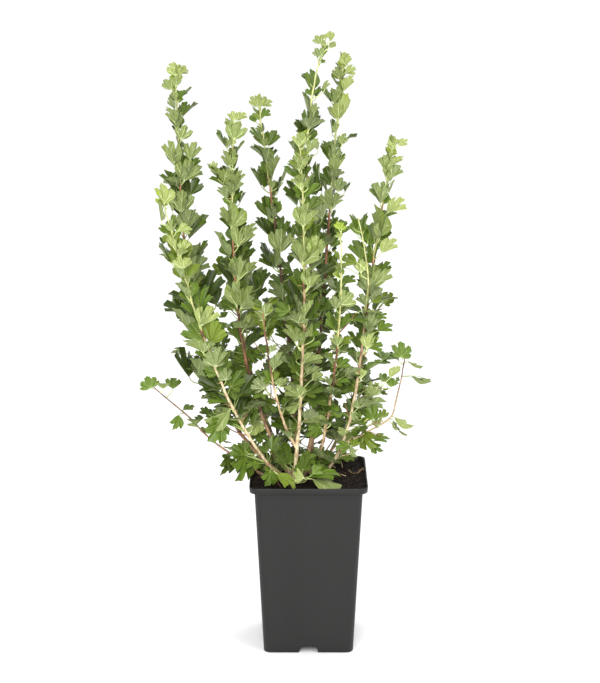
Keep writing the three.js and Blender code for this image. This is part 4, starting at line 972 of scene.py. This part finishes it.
def grow(name, s):
    nodes, along, length = plan[name]
    _, pts, rad = wood[name]
    t, side, ahead = frames(pts)
    open_back = name in ("back_left", "back_right")
    phi = rng.uniform(0, 6.28)
    for d in nodes:
        pos = length - d
        at = np.array([np.interp(pos, along, pts[:, k]) for k in range(3)])
        k = int(np.clip(np.searchsorted(along, pos), 1, len(pts) - 1))
        ax = unit(pts[k] - pts[k - 1])
        r = float(np.interp(pos, along, rad))
        size = min(s["big"], 11.0 + 0.22 * d) * rng.uniform(0.8, 1.08)
        low = at[2] < 440
        # spines below the newest growth
        if d > 90:
            for q in range(int(rng.integers(1, 4))):
                so = rotate(side[k], ax, rng.uniform(0, 6.28))
                spine(at - ax * 2.0 + so * r * 0.9, ax, so, rng.uniform(4.0, 8.5) * (0.75 if d < 160 else 1.0))
        if at[2] < s["bare"] - 26 and rng.random() > 0.4:
            continue
        stalk = (3.5 + 0.03 * d if d < 170 else 8.6 + 0.025 * (d - 170)) * rng.uniform(0.8, 1.3)
        rise = math.radians(np.interp(d, [0, 120, 300, 450], [62, 52, 42, 30]))
        lift = math.radians(np.interp(d, [0, 120, 300, 450], [70, 60, 46, 25]))
        tint = pick_tint(d, s["shade"])
        smat = 0 if d < 120 else (1 if rng.random() < 0.6 else 2)
        kind = "fan" if d < 210 or rng.random() < 0.4 else "round"
        want = 2 + int(at[2] < 340) if not open_back else (3 if low else 2)
        for q in range(want):
            phi += math.radians(137.5) + rng.normal(0, 0.2)
            if open_back:
                out = side[k] * math.cos(phi) + ahead[k] * math.sin(phi)
            else:  # the leaves on the camera's side and to left and right are those seen in the photo
                out = rotate(unit(np.array([0, 1.0, 0]) - ax[1] * ax), ax, math.sin(phi) * (1.15 if low else 0.75))
            f = 1.0 if q == 0 else rng.uniform(0.6, 0.9)
            # low down the second leaf of a node is one tint lighter: painted light for the shaded inside of the crown
            leaf_on(at + out * r * 0.8, ax, out, size * f, stalk * rng.uniform(0.7, 1.2), rise, lift, max(min(tint, 1), tint - q % 2) if low else tint, region_of(name, at[2]), kind, smat, slack=0.5, strict=not open_back and at[2] > 400, tries=10)
        # a short spur with its own leaves low on the shoot
        if low and at[2] > 250 and rng.random() < 0.42:
            phi += 1.9
            out = side[k] * math.cos(phi) + ahead[k] * math.sin(phi)
            if out[1] < 0 and not open_back:
                out = out * np.array([1, -1, 1])
            go = unit(out + ax * rng.uniform(0.4, 1.0))
            reach = rng.uniform(14, 34)
            line = bezier([at, at + go * reach * 0.4, at + go * reach * 0.7 + np.array([0, 0, 2.0]), at + go * reach + np.array([0, 0, 6.0])], np.linspace(0, 1, 7))
            tube(spurs, line, np.linspace(0.95, 0.6, 7), sides=6, age=0.8 if rng.random() < 0.6 else 0.55)
            for q in range(int(rng.integers(3, 6))):
                p = line[0] + (line[-1] - line[0]) * (1.0 - 0.22 * q)
                o = rotate(out, go, rng.uniform(0, 6.28))
                leaf_on(p, go, o, rng.uniform(16, 27), rng.uniform(6, 14), 0.5, rng.uniform(0.1, 0.6), int(np.clip(tint + rng.integers(-1, 2), 1, 4)), region_of(name, p[2]), "round", 1, slack=0.52)
    if open_back or name == "inner_left":
        tip = pts[-1]
        ax = unit(pts[-1] - pts[-3])
        for q in range(5):
            a = q * math.radians(137.5) + rng.normal(0, 0.2)
            out = side[-1] * math.cos(a) + ahead[-1] * math.sin(a)
            e = math.radians([30, 42, 55, 66, 78][q])
            leaf_on(tip - ax * (7.0 - 1.7 * q), ax, out, [13, 12, 10, 8.5, 7][q] * rng.uniform(0.9, 1.15), 4.0 - 0.4 * q, e, e + 0.1, 0, region_of(name, tip[2]), "fan", 0, slack=0.2, sway=0.2)


for name, s in SHOOTS.items():
    grow(name, s)
print("leaves", seen_count, len(taken))

# ------------------------------------------------------------------ pieces from the soups
WOOD_OF = {"left_lateral": ["branch_left_lateral", "branch_left_lateral_end"], "right_lateral": ["branch_right_lateral", "branch_right_lateral_end"]}
LOOSE = ("right_side", "right_spur", "right_whip_a", "right_whip_b", "right_whip_c", "stick_red", "stick_dark_a", "stick_dark_b", "stick_tan", "stick_left", "stick_right", "bit_right", "bit_lying")
for name, (soup, pts, rad) in wood.items():
    if name in LOOSE:
        continue
    o = soup.build(f"wood_{name}", [BARK_MAT], with_age=True)
    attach(o, "root")
    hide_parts(*WOOD_OF.get(name, [f"stem_{name}"]))
for name in LOOSE:
    soup = wood[name][0]
    for faces, to, mats in ((soup.f3, spurs.f3, spurs.m3), (soup.f4, spurs.f4, spurs.m4)):
        for f in faces:
            to.append(f + spurs.n)
            mats.append(np.zeros(len(f), int))
    spurs.v += soup.v
    spurs.age += soup.age
    spurs.n += soup.n
o = spurs.build("twigs", [BARK_MAT], with_age=True)
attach(o, "root")

GROUPS = {
    "left": ["left_back", "left_front", "mid_left", "back_left"],
    "centre": ["centre_left_back", "centre_front", "centre_tall", "inner_left"],
    "right": ["centre_right_back", "right", "inner_right", "back_right", "right_side"],
    "low": ["left_lateral_low", "left_lateral_tip", "right_lateral_low", "right_lateral_tip", "foot_front", "foot_back"],
}
for key, soup in leaf_soups.items():
    o = soup.build(f"foliage_{key}", LEAF_MATS)
    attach(o, "root")
    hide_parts(*[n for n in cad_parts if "leaves_" in n and n.split("leaves_", 1)[1] in GROUPS[key]])
for soup, name, mats, slot_name in ((petioles, "leaf_stalks", PETIOLE_MATS, "leaf"), (spines, "spines", [SPINE_MAT], "bark")):
    o = soup.build(name, mats)
    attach(o, "root")


# ------------------------------------------------------------------ pot
def plan_ring(half, corner, z, marks, arc=8):
    """Points around a rounded square, front side first. z may be a function of the distance along each straight side."""
    out = []
    lim = half - corner
    for k in range(4):
        c, s = math.cos(k * math.pi / 2), math.sin(k * math.pi / 2)
        row = [(-lim, -half)] + [(max(-lim, min(lim, m)), -half) for m in marks] + [(lim, -half)]
        zs = [z(x) if callable(z) else z for x, _ in row]
        for j in range(1, arc):
            a = -math.pi / 2 + j * math.pi / 2 / arc
            row.append((lim + corner * math.cos(a), -lim + corner * math.sin(a)))
            zs.append(z(99.0) if callable(z) else z)
        out += [(x * c - y * s, x * s + y * c, h) for (x, y), h in zip(row, zs)]
    return out


def loft(soup, rings, mats):
    """A closed skin over rings with the same number of points, filled in at both ends."""
    n = len(rings[0])
    v = np.array([p for r in rings for p in r])
    k = np.arange(n)
    for i in range(len(rings) - 1):
        a, b = i * n + k, i * n + (k + 1) % n
        soup.f4.append(np.stack([a, b, b + n, a + n], -1) + soup.n)
        soup.m4.append(np.full(n, mats[i]))
    c0, c1, base = len(v), len(v) + 1, (len(rings) - 1) * n
    soup.f3.append(np.stack([np.full(n, c0), (k + 1) % n, k], -1) + soup.n)
    soup.m3.append(np.full(n, mats[0]))
    soup.f3.append(np.stack([np.full(n, c1), base + k, base + (k + 1) % n], -1) + soup.n)
    soup.m3.append(np.full(n, mats[-1]))
    soup.v.append(np.vstack([v, v[:n].mean(axis=0), v[-n:].mean(axis=0)]))
    soup.age.append(np.zeros(len(v) + 2))
    soup.n += len(v) + 2


def wall_half(z):
    return 0.5 * (BODY_FOOT + (BODY_TOP - BODY_FOOT) * z / (POT_HEIGHT - LIP_HEIGHT))


def channel(base, roof, grown):
    """Height along a side that runs at base and rises to roof over the notch, the notch made wider all round by grown."""
    top, foot = NOTCH_TOP / 2 + grown, NOTCH_FOOT / 2 + grown
    return lambda x: base + (roof - base) * min(1.0, max(0.0, (foot - abs(x)) / (foot - top)))


def lip_half(z):
    return 0.5 * (RIM_WIDTH - 1.5 + 1.5 * (z - POT_HEIGHT + LIP_HEIGHT) / LIP_HEIGHT)


MARKS = [-30, -NOTCH_FOOT / 2 - 1.8, -NOTCH_FOOT / 2, -NOTCH_TOP / 2, -5, 0, 5, NOTCH_TOP / 2, NOTCH_FOOT / 2, NOTCH_FOOT / 2 + 1.8, 30]
under = channel(0.0, NOTCH_HEIGHT, 0.0)
inside = channel(FLOOR, NOTCH_HEIGHT + WALL, WALL)
end = BODY_FOOT / 2 - NOTCH_DEPTH
skin = [  # half width, corner, height, material
    (end - 0.3, 4, 0.0, 0), (end, 4, 0.0, 0), (end, 4, under, 0), (end + 8, 7, under, 0), (wall_half(0) - 1.0, CORNER - 1, under, 0),
    (wall_half(0) - 0.35, CORNER - 0.4, lambda x: under(x) + 0.12, 0), (wall_half(1), CORNER, lambda x: 0.9 + under(x) * (NOTCH_HEIGHT - 0.45) / NOTCH_HEIGHT, 0),
]
skin += [(wall_half(z), CORNER, z, 0) for z in (10.5, 30, 70, 120, 170, 205, 214, 216.5)]
skin += [
    (wall_half(217) + 0.5, CORNER + 0.3, 217.0, 0), (lip_half(217) - 0.6, LIP_CORNER - 0.4, 217.0, 0), (lip_half(217.5), LIP_CORNER, 217.6, 0),
    (lip_half(221), LIP_CORNER, 221.0, 0), (lip_half(224), LIP_CORNER, 224.1, 0), (lip_half(225) - 0.25, LIP_CORNER, 224.75, 0), (lip_half(225) - 0.75, LIP_CORNER - 0.5, 225.0, 0),
    (lip_half(225) - WALL + 0.5, LIP_CORNER - WALL + 0.4, 224.9, 1), (lip_half(224) - WALL, LIP_CORNER - WALL, 224.3, 1), (lip_half(219.4) - WALL, LIP_CORNER - WALL, 219.4, 1),
    (lip_half(218.8) - WALL - 0.5, LIP_CORNER - WALL - 0.3, 218.8, 1), (wall_half(218.8) - WALL + 0.7, CORNER - WALL + 0.5, 218.8, 1), (wall_half(217) - WALL, CORNER - WALL, 218.0, 1),
]
skin += [(wall_half(z) - WALL, CORNER - WALL, z, 1) for z in (214, 205, 190, 120, 40, 13, 10.5)]
skin += [(wall_half(3) - WALL - 0.2, CORNER - WALL, inside, 1), (end - WALL, 4, inside, 1), (end - WALL - 0.1, 4, FLOOR, 1)]
pot = Soup()
loft(pot, [plan_ring(h, c, z, MARKS) for h, c, z, _ in skin], [m for *_, m in skin])
for k in range(4):  # the round drain hole in the roof of each channel
    a = np.arange(24) * math.pi / 12
    c, s = math.cos(k * math.pi / 2), math.sin(k * math.pi / 2)
    cy = -(BODY_FOOT / 2 - NOTCH_DEPTH * 0.62)
    lines = []
    for r, z in ((DRAIN / 2 + 0.5, NOTCH_HEIGHT - 0.02), (DRAIN / 2, NOTCH_HEIGHT - 0.12), (DRAIN / 2 - 0.3, NOTCH_HEIGHT - 0.06)):
        x, y = r * np.cos(a), cy + r * np.sin(a)
        lines.append(np.stack([x * c - y * s, x * s + y * c, np.full(24, z)], -1))
    v = np.vstack(lines + [np.array([[-cy * s, cy * c, NOTCH_HEIGHT - 0.06]])])
    q = np.arange(24)
    nx = (q + 1) % 24
    quads = np.concatenate([np.stack([i * 24 + nx, i * 24 + q, (i + 1) * 24 + q, (i + 1) * 24 + nx], -1) for i in (0, 1)])
    pot.add(v, tris=np.stack([np.full(24, 72), 48 + nx, 48 + q], -1), quads=quads, mat=2)
o = pot.build("growers_pot", [POT_MAT, SHADED_INSIDE_MAT, SOIL_MAT])
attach(o, "root")
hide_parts("pot")


# ------------------------------------------------------------------ compost
def soil_height(x, y):
    m = np.maximum(np.abs(x), np.abs(y))
    edge = np.clip((m - SOIL_FLAT) / (66.0 - SOIL_FLAT), 0, 1)
    edge = edge * edge * (3 - 2 * edge)
    z = SOIL_LEVEL - 0.9 + 3.3 * edge  # heaped a little against the wall and over the ledge inside the lip
    return z + (1 - 0.85 * edge) * (1.9 * lattice_noise(x, y, 19.0, 5) + 1.3 * lattice_noise(x, y, 8.0, 6)) + (1 - 0.7 * edge) * (0.8 * lattice_noise(x, y, 3.6, 7) + 0.5 * lattice_noise(x, y, 1.7, 8))


soil = Soup()
across = list(np.linspace(-62, 62, 31))
soil_half = lip_half(SOIL_LEVEL + 2.4) - WALL - 0.25
rings = []
for f in np.linspace(0.03, 1, 50):
    r = np.array(plan_ring(soil_half * f, max(0.4, (LIP_CORNER - WALL) * f), 0.0, [m * f for m in across], arc=10))
    r[:, 2] = soil_height(r[:, 0], r[:, 1])
    rings.append(r)
rim = rings[-1].copy()
for half, z in ((soil_half, 218.95), *[(wall_half(min(z, 217.0)) - WALL - 0.25, z) for z in (218.95, 180.0, 100.0, 24.0)]):
    low = rim.copy()
    low[:, :2] *= half / soil_half
    low[:, 2] = z
    rings.append(low)
loft(soil, rings[::-1], [0] * len(rings))
crumbs = Soup()
OCTA = np.array([(1, 0, 0), (-1, 0, 0), (0, 1, 0), (0, -1, 0), (0, 0, 1), (0, 0, -1)], float)
OCTA_F = np.array([(0, 2, 4), (2, 1, 4), (1, 3, 4), (3, 0, 4), (2, 0, 5), (1, 2, 5), (3, 1, 5), (0, 3, 5)])
for _ in range(2800):
    x, y = rng.uniform(-70, 70, 2)
    size = 0.5 + 2.3 * rng.random() ** 3
    stretch = np.array([rng.uniform(0.7, 1.8), rng.uniform(0.6, 1.1), rng.uniform(0.4, 0.9)])
    v = OCTA * stretch * size * rng.uniform(0.75, 1.2, (6, 1))
    a, b = rng.uniform(0, 6.28), rng.normal(0, 0.5)
    rot = np.array([[math.cos(a), -math.sin(a), 0], [math.sin(a), math.cos(a), 0], [0, 0, 1]]) @ np.array([[1, 0, 0], [0, math.cos(b), -math.sin(b)], [0, math.sin(b), math.cos(b)]])
    crumbs.add(v @ rot.T + [x, y, soil_height(x, y) + 0.15 * size], tris=OCTA_F, mat=int(rng.choice([0, 1, 2, 3], p=[0.58, 0.32, 0.085, 0.015])))
for _ in range(70):  # fibres and bits of bark
    x, y = rng.uniform(-58, 58, 2)
    a, length = rng.uniform(0, 6.28), rng.uniform(4, 15)
    bow = rng.uniform(-0.4, 0.4) * length
    q = np.linspace(0, 1, 6)
    fx = x + math.cos(a) * length * (q - 0.5) - math.sin(a) * bow * q * (1 - q) * 2
    fy = y + math.sin(a) * length * (q - 0.5) + math.cos(a) * bow * q * (1 - q) * 2
    fz = soil_height(fx, fy) + 0.6 + rng.uniform(0, 1.6) * np.sin(q * math.pi)
    if (np.abs(fx) < 64).all() and (np.abs(fy) < 64).all():
        tube(crumbs, np.stack([fx, fy, fz], -1), rng.uniform(0.22, 0.75), sides=5, mat=int(rng.choice([1, 2, 3], p=[0.6, 0.33, 0.07])))
# a dry root that curls over the ledge at the right
ROOT = [(52.5, 31.8, 217.6), (54.9, 21.4, 218.0), (58.0, 13.8, 218.4), (62.9, 12.3, 219.4), (66.9, 17.3, 220.6), (69.8, 24.8, 221.6), (71.2, 26.2, 222.0), (71.2, 19.1, 221.4)]
root_line = through(ROOT, per=5)
tube(crumbs, root_line, np.linspace(1.25, 0.7, len(root_line)), sides=7, mat=4)
o = soil.build("compost_body", [SOIL_MAT])
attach(o, "root")
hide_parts("compost")
o = crumbs.build("compost_bits", CRUMB_MATS, smooth=False)
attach(o, "root")

# ------------------------------------------------------------------ floor, light, camera
floor_mat = plain("floor_pale", (0.96, 0.96, 0.96, 1), 0.9, 0.1)
mesh = bpy.data.meshes.new("floor")
S = 40.0
mesh.from_pydata([(-S, -S, -0.0004), (S, -S, -0.0004), (S, S, -0.0004), (-S, S, -0.0004)], [], [(0, 1, 2, 3)])
mesh.materials.append(floor_mat)
floor = bpy.data.objects.new("floor", mesh)
bpy.context.scene.collection.objects.link(floor)

world = bpy.data.worlds.new("studio")
bpy.context.scene.world = world
world.use_nodes = True
world.node_tree.nodes["Background"].inputs["Color"].default_value = (1, 1, 1, 1)
world.node_tree.nodes["Background"].inputs["Strength"].default_value = 1.06


def area(name, at, look, size, power):
    light = bpy.data.lights.new(name, "AREA")
    light.shape = "SQUARE"
    light.size = size
    light.energy = power
    o = bpy.data.objects.new(name, light)
    o.location = at
    o.rotation_mode = "QUATERNION"
    o.rotation_quaternion = (Vector(look) - Vector(at)).to_track_quat("-Z", "Y")
    bpy.context.scene.collection.objects.link(o)
    return o


area("key", (1.7, -1.8, 2.1), (0, 0, 0.45), 1.2, 24)
area("front", (-0.4, -3.2, 1.7), (0, 0, 0.42), 1.4, 84)
area("back", (1.9, 2.3, 1.5), (0, 0, 0.42), 1.2, 13)

cam_data = bpy.data.cameras.new("camera")
cam = bpy.data.objects.new("camera", cam_data)
bpy.context.scene.collection.objects.link(cam)
cam_data.sensor_width = 36.0
cam_data.lens = FOCAL / 683.0 * 36.0
cam.location = tuple(EYE * MM)
cam.rotation_euler = (math.radians(90) - TILT, 0, 0)
cam_data.clip_end = 100
bpy.context.scene.camera = cam
bpy.context.scene.view_settings.view_transform = "Standard"
